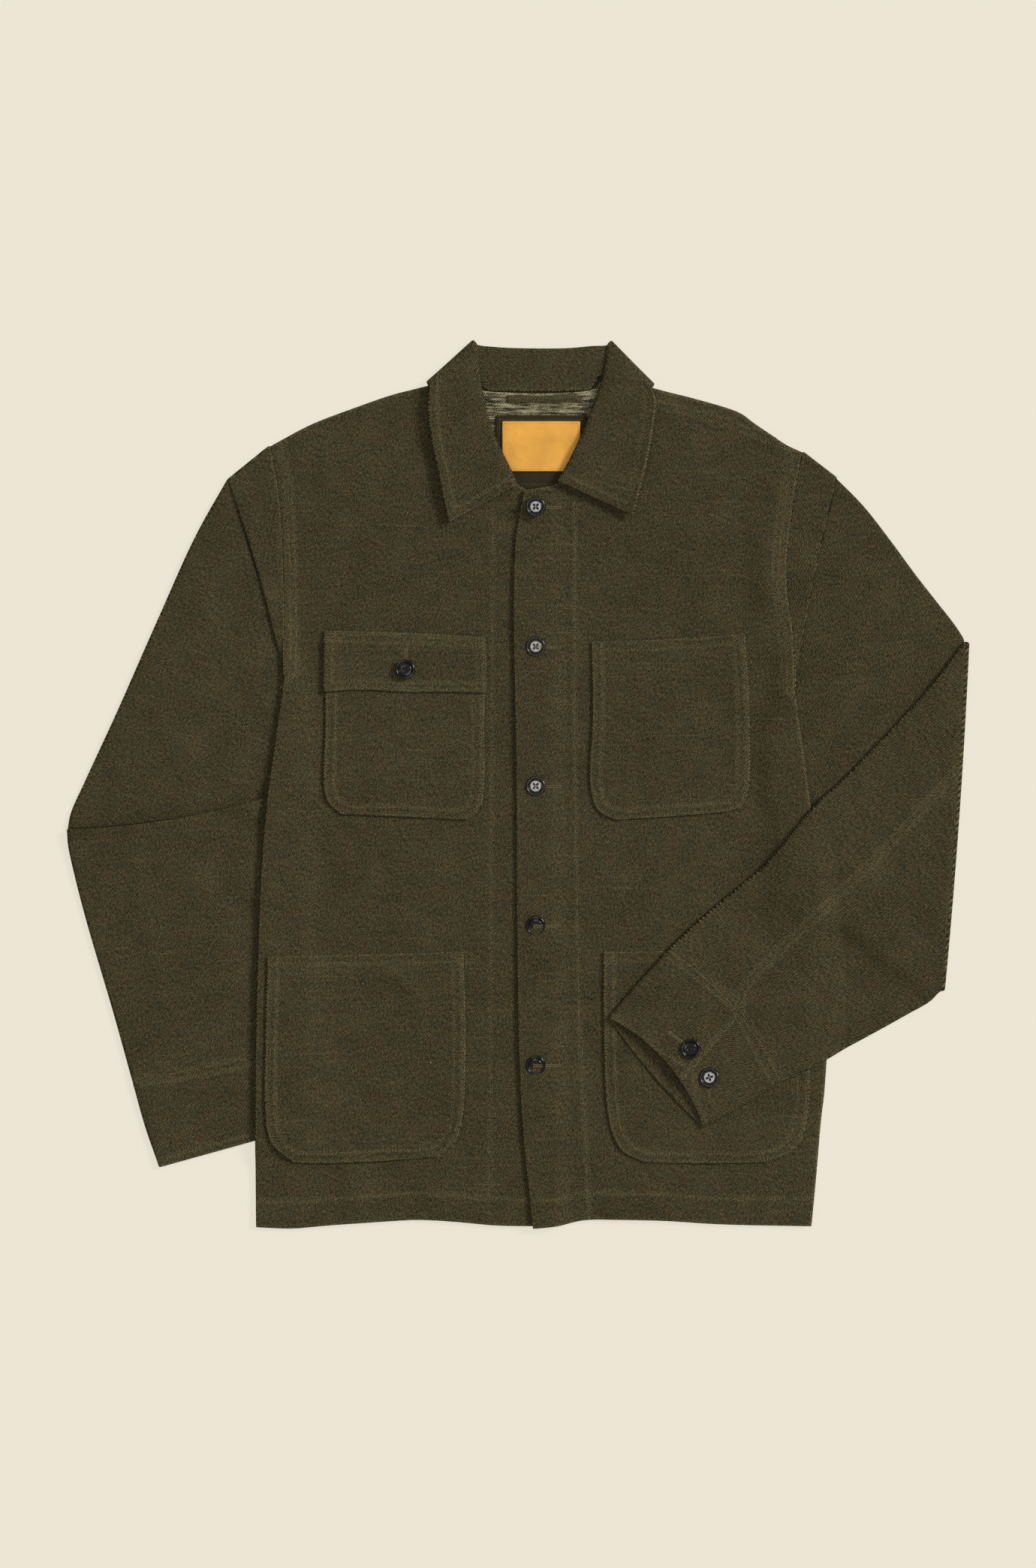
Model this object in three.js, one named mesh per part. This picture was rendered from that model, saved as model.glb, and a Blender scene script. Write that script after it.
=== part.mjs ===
// Chore jacket of heavy cotton twill, buttoned up and laid flat on its back.
// Millimetres. +X is the wearer's left, +Y runs up to the collar, +Z is away from the surface.
// Every cloth piece is a wall of one thickness. It starts as an outline in plan, it is laid on
// whatever already lies there, and its middle surface is then given its thickness.
import * as THREE from 'three';

// ---------- driving dimensions ----------
const CLOTH = 1.5;          // one ply of the twill
const COLLAR_PLY = 2.4;     // two plies sewn together
const TAPE = 1.0;           // label, its patch and the hanging tape
const SEAM = 0.3;           // space kept between two pieces
const TUBE_HALF = 1.35;     // half the distance between the two walls of a flat sleeve
const FOLD_RADIUS = 2.9;    // middle of the left sleeve where it turns over
const FRONT_BUTTON = 18;    // diameter of every button, a 28-line button
const BUTTON_THICK = 3.4;
const BUTTON_X = 16;        // centre front
const BUTTON_TOP_Y = 251;   // top front button
const BUTTON_STEP = 126.3;  // from one front button to the next

// ---------- outlines in plan ----------
// Each row is one point: x, y.
const HEM_BACK = [[-236, -400], [-180, -399], [-100, -392.5], [-40, -394.5], [10, -398], [40, -396.5],
  [75, -391.5], [120, -393], [190, -396.5], [264, -398.5]];
const SIDE_RIGHT = [[-237, -401], [-237.4, -320], [-235, -161], [-229, -41], [-211, 99]];
const ARMHOLE_RIGHT = [[-211, 99], [-212, 181], [-216, 260], [-224, 306]];
const SIDE_LEFT = [[265.5, -400], [270.3, -350], [274, -306], [277.6, -274], [280.5, -195], [265, -26], [250, 86]];
const ARMHOLE_LEFT = [[250, 86], [249, 130], [243, 192], [248, 247], [257, 300.5]];
const SHOULDER_RIGHT = [[-224, 306], [-188, 325.3], [-147, 341], [-114, 352.4], [-90, 358.4], [-44, 368.5]];
const SHOULDER_LEFT = [[78, 369], [130, 356.4], [162, 348.5], [201, 336], [214, 326.8], [230, 315.8],
  [244, 306.5], [257, 300.5]];
const NECK_BACK = [[-44, 368.5], [-33, 357.8], [-10, 355], [46, 355], [70, 359], [78, 369]];

const EDGE_LEFT = [[14, -402], [5, -314], [1, -229], [-1, -1], [-2, 218], [6, 266]];
const HEM_LEFT = [[14, -402], [36, -399.5], [60, -394.5], [90, -394.2], [130, -395.1], [187, -398.4],
  [265.5, -400]];
const NECK_LEFT = [[6, 266], [35, 272], [56, 288], [71, 310], [83, 338], [90, 367]];

const EDGE_RIGHT = [[34, -400], [32, -229], [30, -1], [30, 218], [31, 256]];
const HEM_RIGHT = [[-237, -401], [-205, -402], [-171, -399.2], [-125, -396], [-90, -394.3],
  [-55, -396.2], [-20, -399.3], [34, -400]];
const NECK_RIGHT = [[31, 256], [5, 268], [-17, 284], [-34, 318], [-44, 345], [-50, 368]];

// ---------- sleeves ----------
// Each row is one line across the sleeve, from its near edge to its far edge.
// bow: how far the line bends sideways in its middle. near_lift, far_lift: how far the upper
// wall stands above a flat sleeve at each end, which makes the tucks.
const SLEEVE_RIGHT = {
  columns: ['near_x', 'near_y', 'far_x', 'far_y', 'bow', 'near_lift', 'far_lift'],
  rows: [
    [-212, 101, -225, 306, 0, 0, 0],           // armhole, replaced by its curve
    [-213.5, 99.5, -241, 295.5, -4, 1.6, 0.8],
    [-215, 98, -262, 277, -3, 2.6, 0.6],       // edge of the tuck at the sleeve head
    [-213.5, 96, -263.5, 275.5, -3, 0, 0],     // under it
    [-210, 80, -291.3, 226, 0, 0, 0],
    [-207, 58, -328, 145, 0, 0, 0],
    [-205, 35, -364.2, 63, 0, 0, 0],
    [-204, 14, -391.5, 4, 3, 0, 0],
    [-203.5, 1, -405.2, -27, 6, 0, 0],
    [-203.2, -5, -408, -42, 8, 0, 0],          // elbow, in front of the fold
    [-203.2, -6.6, -408.4, -44.5, 8, 3.4, 1],  // edge of the fold
    [-203, -22, -407.3, -56, 6, 1.6, 0.6],
    [-202.6, -50, -401.2, -84, 3, 0.4, 0.2],
    [-202, -107, -390, -127, 0, 0, 0],
    [-201, -180, -367, -205, 0, 0, 0],
    [-200.2, -239.6, -349, -269.6, -2, 0, 0],  // cuff seam
  ],
};
const CUFF_RIGHT = {
  columns: ['near_x', 'near_y', 'far_x', 'far_y', 'bow', 'near_lift', 'far_lift'],
  rows: [
    [-200.1, -240.4, -348.8, -270.4, -2, 0, 0],
    [-199.5, -275, -338, -309, -1, 0.2, 0.2],
    [-199, -311.5, -325, -346.5, 0, 0.4, 0.4],
  ],
};
// The left sleeve down to its fold.
const UPPER_LEFT = {
  columns: ['near_x', 'near_y', 'far_x', 'far_y', 'bow', 'near_lift', 'far_lift'],
  rows: [
    [250, 88, 258, 300.5, 0, 0, 0],            // armhole, replaced by its curve
    [252.5, 86.5, 271, 293.4, 7, 1.6, 0.8],
    [255, 85, 288.5, 278, 3, 2.6, 0.8],        // edge of the tuck at the sleeve head
    [253, 82.5, 290.3, 276.4, 3, 0, 0],        // under it
    [243, 62, 312.5, 252.2, 0, 0, 0],
    [235, 38, 337, 221, 0, 0, 0],
    [237, 0, 359, 191, 0, 0, 0],
    [246, -42, 378.5, 166, 0, 0, 0],
    [268, -92, 393.5, 147, 0, 0, 0],
    [310, -130, 402, 134.5, 0, 0, 0],
  ],
};
const FOLD_LEFT = { near_x: 382, near_y: -186.5, far_x: 404.2, far_y: 128.5, bow: -2 };
// From the fold to the cuff seam, lying on the front.
const FOREARM_LEFT = {
  columns: ['near_x', 'near_y', 'far_x', 'far_y', 'bow', 'near_lift', 'far_lift'],
  rows: [
    [372.6, -196.6, 388, 106, 0, 0, 0],
    [353.6, -207.6, 366, 79, 0, 0, 0],
    [331.6, -219.9, 341, 52, 0, 0, 0],
    [311.6, -230.8, 318, 28, 0, 0, 0],
    [296.6, -238.9, 293, 3, 0, 0, 0],
    [283.6, -246.4, 271, -17, 0, 0, 0],
    [273, -252, 250, -42, -1, 0, 0],
    [264, -256.5, 228, -69, -2, 0, 0],
    [256, -260.6, 204, -90, -4, 0, 0],
    [249, -264, 180, -110, -7, 0, 0],
    [243, -266.5, 157, -130, -10, 0, 0],
    [237.6, -268.6, 136.4, -150, -12, 0, 0],   // cuff seam
  ],
};
// The left cuff, from its seam to its mouth, which stands open.
// bow, bow_under: how far the upper and the lower wall bend sideways. gape: how far the upper wall
// stands up. tab: where the buttonhole end lies, as a share of the way from the near edge.
const CUFF_LEFT = {
  columns: ['near_x', 'near_y', 'far_x', 'far_y', 'bow', 'bow_under', 'gape', 'tab'],
  rows: [
    [237, -269.2, 135.8, -150.7, -12, -12, 0, 0.45],
    [203, -290.5, 108, -181, -12.5, -4, 0.8, 0.40],
    [168, -310, 82.8, -211, -13, 4, 2.4, 0.34],
  ],
};

// ---------- collar ----------
// Each row is a section: neck seam, roll, outer edge. side: 1 on the fronts, 0 where it turns
// round the neck, -1 behind the back.
const COLLAR = {
  columns: ['seam_x', 'seam_y', 'roll_x', 'roll_y', 'outer_x', 'outer_y', 'side'],
  rows: [
    [-8, 268, -1.5, 271, -62, 238, 1],
    [-20, 281, -7, 284, -67, 262, 1],
    [-33, 307, -20, 311, -74, 296, 1],
    [-42, 334, -29, 337, -79.5, 327, 1],
    [-44, 360, -35.5, 371, -80.5, 352, 1],
    [-43, 369, -38.2, 398.2, -79.5, 360.5, 1],
    [-42, 371, -40.2, 400.8, -81.5, 363.2, 0.6],
    [-39, 371, -40.8, 401.6, -82, 364, 0],
    [-36, 368, -40.2, 400.8, -81.5, 363.2, -0.6],
    [-34, 365, -38.2, 398.2, -79.5, 360.5, -1],
    [-28, 358, -20, 395.5, -45, 330, -1],
    [0, 357, 4, 394.4, 0, 320, -1],
    [42, 357, 42, 394.4, 44, 320, -1],
    [64, 358.5, 67, 396.4, 89, 330, -1],
    [70, 365, 82, 397.8, 120.2, 358.8, -1],
    [71, 368, 84, 400.4, 122, 361.4, -0.6],
    [74, 371, 84.6, 401, 122.6, 362.2, 0],
    [78, 371, 84, 400.4, 122, 361.4, 0.6],
    [80, 369, 82, 397.8, 120.4, 358.8, 1],
    [86, 360, 78, 371, 123.4, 349, 1],
    [83, 336, 68, 341, 122, 328, 1],
    [72, 310, 57, 313, 116.5, 296, 1],
    [56, 285, 43, 285, 109, 264, 1],
    [44, 271, 36.5, 275, 104, 244, 1],
  ],
};

// ---------- pockets, flap, label ----------
// Each patch is given by its four edges: mouth (top), bottom, left and right, as x, y points.
const PATCHES = {
  pocket_chest_right: {
    left: [[-160, -27], [-173, -14], [-174, 60], [-174, 130]],
    right: [[-46, -32], [-35, -22], [-31, 60], [-31, 126]],
    bottom: [[-160, -27], [-101, -29], [-46, -32]],
    top: [[-174, 130], [-101, 128], [-31, 126]],
  },
  flap_chest_right: {
    left: [[-176, 84], [-175.5, 110], [-175, 139]],
    right: [[-29, 83], [-29, 108], [-30, 133]],
    bottom: [[-176, 84], [-143, 86], [-101, 84], [-60, 84], [-29, 83]],
    top: [[-175, 139], [-101, 137], [-30, 133]],
  },
  pocket_chest_left: {
    left: [[89, -32], [73, -24], [66, -3], [68, 64], [67, 129]],
    right: [[190, -25], [203, -19], [208, -5], [209, 70], [205, 136]],
    bottom: [[89, -32], [135, -29], [190, -25]],
    top: [[67, 129], [135, 131], [205, 136]],
  },
  pocket_hip_right: {
    left: [[-204, -342], [-223, -324], [-228, -299], [-228, -229], [-226, -156]],
    right: [[-72, -337], [-57, -322], [-51, -302], [-48, -229], [-50, -152]],
    bottom: [[-204, -342], [-186, -343], [-125, -341], [-72, -337]],
    top: [[-226, -156], [-155, -155], [-50, -152]],
  },
  pocket_hip_left: {
    left: [[114, -342], [94, -331], [83, -305], [78, -207], [78, -152]],
    right: [[226, -342], [252, -329], [262, -299], [263, -225], [261, -150]],
    bottom: [[114, -342], [170, -343], [226, -342]],
    top: [[78, -152], [170, -151], [261, -150]],
  },
};
const INSIDE_NECK = {
  hanger_loop: { x: [-10, 58], y: [346.5, 352] },
  label_patch: { x: [-20, 62], y: [277, 334] },
  label: { x: [-14, 56], y: [284, 328.5] },
};

// ---------- colours ----------
const COLOURS = {
  cloth: { color: 0x4a4230, roughness: 0.92, metalness: 0 },
  patch: { color: 0x2c261e, roughness: 0.9, metalness: 0 },
  label: { color: 0xd99b3a, roughness: 0.8, metalness: 0 },
  button: { color: 0x0c0b0b, roughness: 0.25, metalness: 0 },
};

// ---------- curves and grids ----------

function records(table) {
  return table.rows.map((row) => Object.fromEntries(table.columns.map((name, i) => [name, row[i]])));
}

// A smooth curve through the points, cut into `count` equal lengths.
function along(points, count) {
  const curve = new THREE.CatmullRomCurve3(
    points.map(([x, y]) => new THREE.Vector3(x, y, 0)), false, 'centripetal');
  return curve.getSpacedPoints(count);
}

// Several curves end to end, which keeps the corners between them.
function chain(...pieces) {
  return pieces.flatMap(([points, count], i) => {
    const run = along(points, count);
    return i === 0 ? run : run.slice(1);
  });
}

// A grid of plan points that fills the space between four edges.
function patch(bottom, top, left, right) {
  const rows = left.length - 1;
  const columns = bottom.length - 1;
  const grid = [];
  for (let i = 0; i <= rows; i++) {
    const v = i / rows;
    const line = [];
    for (let j = 0; j <= columns; j++) {
      const u = j / columns;
      const fromEnds = bottom[j].clone().lerp(top[j], v);
      const fromSides = left[i].clone().lerp(right[i], u);
      const low = bottom[0].clone().lerp(bottom[columns], u);
      const high = top[0].clone().lerp(top[columns], u);
      line.push(fromEnds.add(fromSides).sub(low.lerp(high, v)));
    }
    grid.push(line);
  }
  return grid;
}

// ---------- the pile: how high the pieces already laid reach ----------

const CELL = 3;
const HALF_FIELD = 450;
const FIELD_CELLS = Math.ceil(2 * HALF_FIELD / CELL);

class Pile {
  constructor() {
    this.top = new Float32Array(FIELD_CELLS * FIELD_CELLS);
  }

  cell(value) {
    return Math.round((value + HALF_FIELD) / CELL);
  }

  // Raises the pile to the tops of a grid's faces, plus half the ply.
  lay(grid, ply) {
    for (let i = 0; i + 1 < grid.length; i++) {
      for (let j = 0; j + 1 < grid[i].length; j++) {
        this.layQuad([grid[i][j], grid[i][j + 1], grid[i + 1][j], grid[i + 1][j + 1]], ply / 2);
      }
    }
  }

  layQuad([a, b, c, d], rise) {
    const steps = Math.ceil(Math.max(a.distanceTo(b), a.distanceTo(c), c.distanceTo(d)) / (0.7 * CELL));
    const point = new THREE.Vector3();
    const far = new THREE.Vector3();
    for (let i = 0; i <= steps; i++) {
      for (let j = 0; j <= steps; j++) {
        point.lerpVectors(a, b, i / steps).lerp(far.lerpVectors(c, d, i / steps), j / steps);
        const at = this.cell(point.y) * FIELD_CELLS + this.cell(point.x);
        this.top[at] = Math.max(this.top[at], point.z + rise);
      }
    }
  }

  // The highest top within reach of a point.
  under(x, y, reach) {
    const span = Math.ceil(reach / CELL);
    const column = this.cell(x);
    const row = this.cell(y);
    let highest = 0;
    for (let i = -span; i <= span; i++) {
      for (let j = -span; j <= span; j++) {
        if (i * i + j * j > (span + 0.5) ** 2) continue;
        highest = Math.max(highest, this.top[(row + i) * FIELD_CELLS + column + j] || 0);
      }
    }
    return highest;
  }
}

const REACH_SHARE = 0.7;    // of the way to the next point, over which a piece clears what is below

function reachOf(grid, i, j) {
  const here = grid[i][j];
  const beside = [grid[i - 1]?.[j], grid[i + 1]?.[j], grid[i][j - 1], grid[i][j + 1]];
  const widest = Math.max(...beside.filter(Boolean).map((p) => Math.hypot(p.x - here.x, p.y - here.y)));
  return REACH_SHARE * widest;
}

// Lays a plan grid on the pile: its middle surface keeps clear by the seam gap.
function settle(grid, pile, ply, loft = () => 0) {
  const laid = grid.map((line, i) => line.map((p, j) => {
    const base = pile.under(p.x, p.y, reachOf(grid, i, j));
    return new THREE.Vector3(p.x, p.y, base + (base > 0 ? SEAM : 0) + ply / 2 + loft(p.x, p.y));
  }));
  return laid;
}

// ---------- solids ----------

function normalAt(grid, i, j, ring) {
  const rows = grid.length;
  const columns = grid[0].length;
  const before = grid[Math.max(i - 1, 0)][j];
  const after = grid[Math.min(i + 1, rows - 1)][j];
  const left = ring ? grid[i][(j + columns - 1) % columns] : grid[i][Math.max(j - 1, 0)];
  const right = ring ? grid[i][(j + 1) % columns] : grid[i][Math.min(j + 1, columns - 1)];
  const alongRows = after.clone().sub(before);
  const across = right.clone().sub(left);
  return across.cross(alongRows).normalize();
}

// Gives a middle surface its thickness. With `ring` the last column joins the first.
function thicken(grid, ply, ring = false) {
  const rows = grid.length;
  const columns = grid[0].length;
  const positions = [];
  for (const side of [1, -1]) {
    for (let i = 0; i < rows; i++) {
      for (let j = 0; j < columns; j++) {
        const offset = normalAt(grid, i, j, ring).multiplyScalar(side * ply / 2);
        positions.push(...grid[i][j].clone().add(offset).toArray());
      }
    }
  }
  const outer = (i, j) => i * columns + (j % columns);
  const inner = (i, j) => rows * columns + outer(i, j);
  const index = [];
  const quad = (a, b, c, d) => index.push(a, b, c, a, c, d);
  const lastColumn = ring ? columns : columns - 1;
  for (let i = 0; i + 1 < rows; i++) {
    for (let j = 0; j < lastColumn; j++) {
      quad(outer(i, j), outer(i, j + 1), outer(i + 1, j + 1), outer(i + 1, j));
      quad(inner(i, j), inner(i + 1, j), inner(i + 1, j + 1), inner(i, j + 1));
    }
    if (!ring) {
      quad(outer(i, 0), outer(i + 1, 0), inner(i + 1, 0), inner(i, 0));
      quad(outer(i, lastColumn), inner(i, lastColumn), inner(i + 1, lastColumn), outer(i + 1, lastColumn));
    }
  }
  for (let j = 0; j < lastColumn; j++) {
    quad(outer(0, j), inner(0, j), inner(0, j + 1), outer(0, j + 1));
    quad(outer(rows - 1, j), outer(rows - 1, j + 1), inner(rows - 1, j + 1), inner(rows - 1, j));
  }
  const geometry = new THREE.BufferGeometry();
  geometry.setAttribute('position', new THREE.Float32BufferAttribute(positions, 3));
  geometry.setIndex(index);
  return geometry;
}

const jacket = new THREE.Group();

function add(name, geometry, finish) {
  const mesh = new THREE.Mesh(geometry, new THREE.MeshStandardMaterial(COLOURS[finish]));
  mesh.name = name;
  jacket.add(mesh);
  return mesh;
}

// ---------- sleeves as flat tubes ----------

// How far each column of a flat tube lies from the near edge: the corners are rounded.
const INNER_COLUMNS = [0.2, 0.4, 0.6, 0.8];

// One line across a sleeve in plan, with both walls' offsets from the middle of the tube.
function crossing(row) {
  const near = new THREE.Vector3(row.near_x, row.near_y, 0);
  const far = new THREE.Vector3(row.far_x, row.far_y, 0);
  const width = near.distanceTo(far);
  const side = new THREE.Vector3(-(far.y - near.y), far.x - near.x, 0).normalize();
  const corner = TUBE_HALF / width;
  const stops = [corner, ...INNER_COLUMNS, 1 - corner];
  const at = (s) => near.clone().lerp(far, s).addScaledVector(side, row.bow * 4 * s * (1 - s));
  const puff = (s) => 1.2 * Math.sin(Math.PI * s);
  const lift = (s) => Math.min(1, s / 0.2) * ((row.near_lift || 0) * (1 - s) + (row.far_lift || 0) * s);
  return {
    plan: [at(0), ...stops.map(at), at(1), ...stops.map(at).reverse()],
    wall: [0, ...stops.map(() => 1), 0, ...stops.map(() => -1)],
    rise: [0, ...stops.map((s) => lift(s) + puff(s)), 0, ...stops.map(() => 0)],
  };
}

// Rings of a sleeve that lies at a given height, or on the pile.
function tubeRings(table, floorAt) {
  const lines = records(table).map(crossing);
  const plans = lines.map((line) => line.plan);
  return lines.map(({ plan, wall, rise }, i) => plan.map((p, j) => {
    const middle = floorAt(p.x, p.y, reachOf(plans, i, j)) + CLOTH / 2 + TUBE_HALF;
    return new THREE.Vector3(p.x, p.y, middle + wall[j] * TUBE_HALF + rise[j]);
  }));
}

// Where the left sleeve turns over: rings round a half circle beside the fold line.
function turnRings(fold, steps) {
  const { plan, wall } = crossing(fold);
  const out = new THREE.Vector3(fold.far_y - fold.near_y, fold.near_x - fold.far_x, 0).normalize();
  const low = CLOTH / 2 + TUBE_HALF;
  const rings = [];
  for (let k = 0; k <= steps; k++) {
    const turn = Math.PI * k / steps;
    rings.push(plan.map((p, j) => {
      const radius = FOLD_RADIUS - wall[j] * TUBE_HALF;
      const point = p.clone().addScaledVector(out, radius * Math.sin(turn));
      point.z = low + FOLD_RADIUS - radius * Math.cos(turn);
      return point;
    }));
  }
  return rings;
}

const pile = new Pile();

// ---------- what lies lowest: sleeves, cuff and the back of the collar ----------

const TUCK_ROWS = 3;        // rows of a sleeve that abut the body, before the tuck at its head
const onFloor = () => 0;
const rightSleeve = tubeRings(SLEEVE_RIGHT, onFloor);
const rightCuff = tubeRings(CUFF_RIGHT, onFloor);
const upperLeft = tubeRings(UPPER_LEFT, onFloor);
for (const rings of [rightSleeve.slice(TUCK_ROWS), rightCuff, upperLeft.slice(TUCK_ROWS)]) {
  pile.lay(rings, CLOTH);
}

// ---------- collar sections ----------

const ROLL_SHORT = 3;       // from the roll to the nearest points on either side of it
const FALL_BACK = COLLAR_PLY / 2;
const STAND_BACK = 4.6;     // middle of the stand behind the neck
const FALL_OVER_STAND = 3.6;
// Each column of a section: where it lies and how it stands on the fronts.
// span: on which side of the roll. share: place on it, or short: just beside the roll.
// over: how much of the way up to the fall.
const COLLAR_COLUMNS = [
  { span: 'stand', share: 0, over: 0 },
  { span: 'stand', share: 0.5, over: 0 },
  { span: 'stand', short: true, over: 0 },
  { span: 'stand', share: 1, over: 0.5 },
  { span: 'fall', short: true, over: 1 },
  { span: 'fall', share: 0.36, over: 1 },
  { span: 'fall', share: 0.7, over: 0.45 },
  { span: 'fall', share: 1, over: 0 },
];

function collarPoint(row, column) {
  const roll = new THREE.Vector3(row.roll_x, row.roll_y, 0);
  const end = column.span === 'stand'
    ? new THREE.Vector3(row.seam_x, row.seam_y, 0)
    : new THREE.Vector3(row.outer_x, row.outer_y, 0);
  if (column.short) return roll.clone().add(end.sub(roll).setLength(ROLL_SHORT));
  return column.span === 'stand' ? end.lerp(roll, column.share) : roll.clone().lerp(end, column.share);
}

function collarHeights(row, column, frontTop) {
  const onFront = frontTop + SEAM + COLLAR_PLY / 2 + column.over * FALL_OVER_STAND;
  const onBack = THREE.MathUtils.lerp(STAND_BACK, FALL_BACK, Math.min(1, column.span === 'fall' ? 1 : column.over));
  return THREE.MathUtils.lerp(onBack, onFront, (1 + row.side) / 2);
}

const COLLAR_REACH = 14;
const collarRows = records(COLLAR);
const backFall = collarRows.filter((row) => row.side < -0.5).map((row) => COLLAR_COLUMNS
  .filter((column) => column.span === 'fall')
  .map((column) => collarPoint(row, column).setZ(FALL_BACK)));
pile.lay(backFall, COLLAR_PLY);

// ---------- body ----------

// Soft ridges and troughs of the fronts. angle is in degrees from +X; rise is below 0 in a trough.
const FOLDS = {
  columns: ['x', 'y', 'angle', 'length', 'width', 'rise'],
  rows: [
    [206, 200, 95, 150, 26, -1.1],
    [165, 262, 20, 120, 28, 0.8],
    [-120, 250, 70, 150, 30, 0.9],
    [140, 40, 80, 160, 40, 0.7],
    [-100, -90, 95, 170, 44, 0.8],
    [-150, -380, 90, 60, 40, 0.9],
    [110, -380, 90, 60, 46, 0.9],
    [190, -90, 60, 120, 30, -0.8],
  ],
};
const folds = records(FOLDS);
const FRONT_LOFT = 1.1;     // air between the fronts and the back
const SIDE_STEPS = 13;      // rows of a panel from the hem to the armpit
const ARMHOLE_STEPS = 5;    // and from there to the shoulder
const ARMHOLE_GAP = 0.9;    // in plan, because both edges are tilted there

function frontLoft(x, y) {
  let rise = FRONT_LOFT;
  for (const fold of folds) {
    const turn = THREE.MathUtils.degToRad(fold.angle);
    const dx = x - fold.x;
    const dy = y - fold.y;
    const lengthwise = (dx * Math.cos(turn) + dy * Math.sin(turn)) / (fold.length / 2);
    const crosswise = (dy * Math.cos(turn) - dx * Math.sin(turn)) / (fold.width / 2);
    rise += fold.rise * Math.exp(-(lengthwise ** 2) - crosswise ** 2);
  }
  return Math.max(rise, 0);
}

const back = settle(patch(
  along(HEM_BACK, 16),
  chain([SHOULDER_RIGHT, 5], [NECK_BACK, 6], [SHOULDER_LEFT, 5]),
  chain([SIDE_RIGHT, SIDE_STEPS], [ARMHOLE_RIGHT, ARMHOLE_STEPS]),
  chain([SIDE_LEFT, SIDE_STEPS], [ARMHOLE_LEFT, ARMHOLE_STEPS]),
), pile, CLOTH);
pile.lay(back, CLOTH);
add('back', thicken(back, CLOTH), 'cloth');

function rectangle({ x, y }, columns, rows) {
  return patch(
    along([[x[0], y[0]], [x[1], y[0]]], columns), along([[x[0], y[1]], [x[1], y[1]]], columns),
    along([[x[0], y[0]], [x[0], y[1]]], rows), along([[x[1], y[0]], [x[1], y[1]]], rows));
}

for (const [name, place] of Object.entries(INSIDE_NECK)) {
  const grid = settle(rectangle(place, 4, 2), pile, TAPE);
  pile.lay(grid, TAPE);
  add(name, thicken(grid, TAPE), name === 'label' ? 'label' : 'patch');
}

const frontRight = settle(patch(
  along(HEM_RIGHT, 10),
  chain([[...SHOULDER_RIGHT.slice(0, -1), NECK_RIGHT.at(-1)], 5], [NECK_RIGHT.slice().reverse(), 5]),
  chain([SIDE_RIGHT, SIDE_STEPS], [ARMHOLE_RIGHT, ARMHOLE_STEPS]),
  along(EDGE_RIGHT, SIDE_STEPS + ARMHOLE_STEPS),
), pile, CLOTH, frontLoft);
pile.lay(frontRight, CLOTH);
add('front_right', thicken(frontRight, CLOTH), 'cloth');

const frontLeft = settle(patch(
  along(HEM_LEFT, 10),
  chain([NECK_LEFT, 5], [[NECK_LEFT.at(-1), ...SHOULDER_LEFT.slice(1)], 5]),
  along(EDGE_LEFT, SIDE_STEPS + ARMHOLE_STEPS),
  chain([SIDE_LEFT, SIDE_STEPS], [ARMHOLE_LEFT, ARMHOLE_STEPS]),
), pile, CLOTH, frontLoft);
pile.lay(frontLeft, CLOTH);
add('front_left', thicken(frontLeft, CLOTH), 'cloth');

for (const [name, edge] of Object.entries(PATCHES)) {
  const grid = settle(patch(along(edge.bottom, 6), along(edge.top, 6), along(edge.left, 6),
    along(edge.right, 6)), pile, CLOTH);
  pile.lay(grid, CLOTH);
  add(name, thicken(grid, CLOTH), 'cloth');
}

// ---------- collar ----------

const collar = collarRows.map((row) => COLLAR_COLUMNS.map((column) => {
  const point = collarPoint(row, column);
  return point.setZ(collarHeights(row, column, pile.under(point.x, point.y, COLLAR_REACH)));
}));
add('collar', thicken(collar, COLLAR_PLY), 'cloth');

// ---------- the sleeves, the left one folded over the front ----------

// The first ring of a sleeve runs along its armhole, level with the front above and the back
// below. `edge` picks the column of a panel that runs along that armhole.
function meetArmhole(rings, armhole, outward, front, back, edge) {
  const points = along(armhole, ARMHOLE_STEPS);
  const level = (panel, k) => panel[SIDE_STEPS + k].at(edge).z;
  const steps = Array.from({ length: ARMHOLE_STEPS + 1 }, (_, k) => k);
  const place = (k, z) => points[k].clone().setX(points[k].x + outward * ARMHOLE_GAP).setZ(z);
  const upper = steps.map((k) => place(k, level(front, k)));
  const lower = steps.map((k) => place(k, level(back, k)));
  const between = (k) => place(k, (level(front, k) + level(back, k)) / 2)
    .setX(points[k].x + outward * (ARMHOLE_GAP + TUBE_HALF));
  rings[0] = [between(0), ...upper, between(ARMHOLE_STEPS), ...lower.reverse()];
}
meetArmhole(rightSleeve, ARMHOLE_RIGHT, -1, frontRight, back, 0);
meetArmhole(upperLeft, ARMHOLE_LEFT, 1, frontLeft, back, -1);

add('sleeve_right', thicken(rightSleeve, CLOTH, true), 'cloth');
add('cuff_right', thicken(rightCuff, CLOTH, true), 'cloth');

const onPile = (x, y, reach) => pile.under(x, y, reach) + SEAM;
// What was the upper wall before the fold is the lower one after it, so each ring runs backwards.
const forearm = tubeRings(FOREARM_LEFT, onPile).map(([first, ...others]) => [first, ...others.reverse()]);
const leftSleeve = [...upperLeft, ...turnRings(FOLD_LEFT, 6), ...forearm];
add('sleeve_left', thicken(leftSleeve, CLOTH, true), 'cloth');

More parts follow.
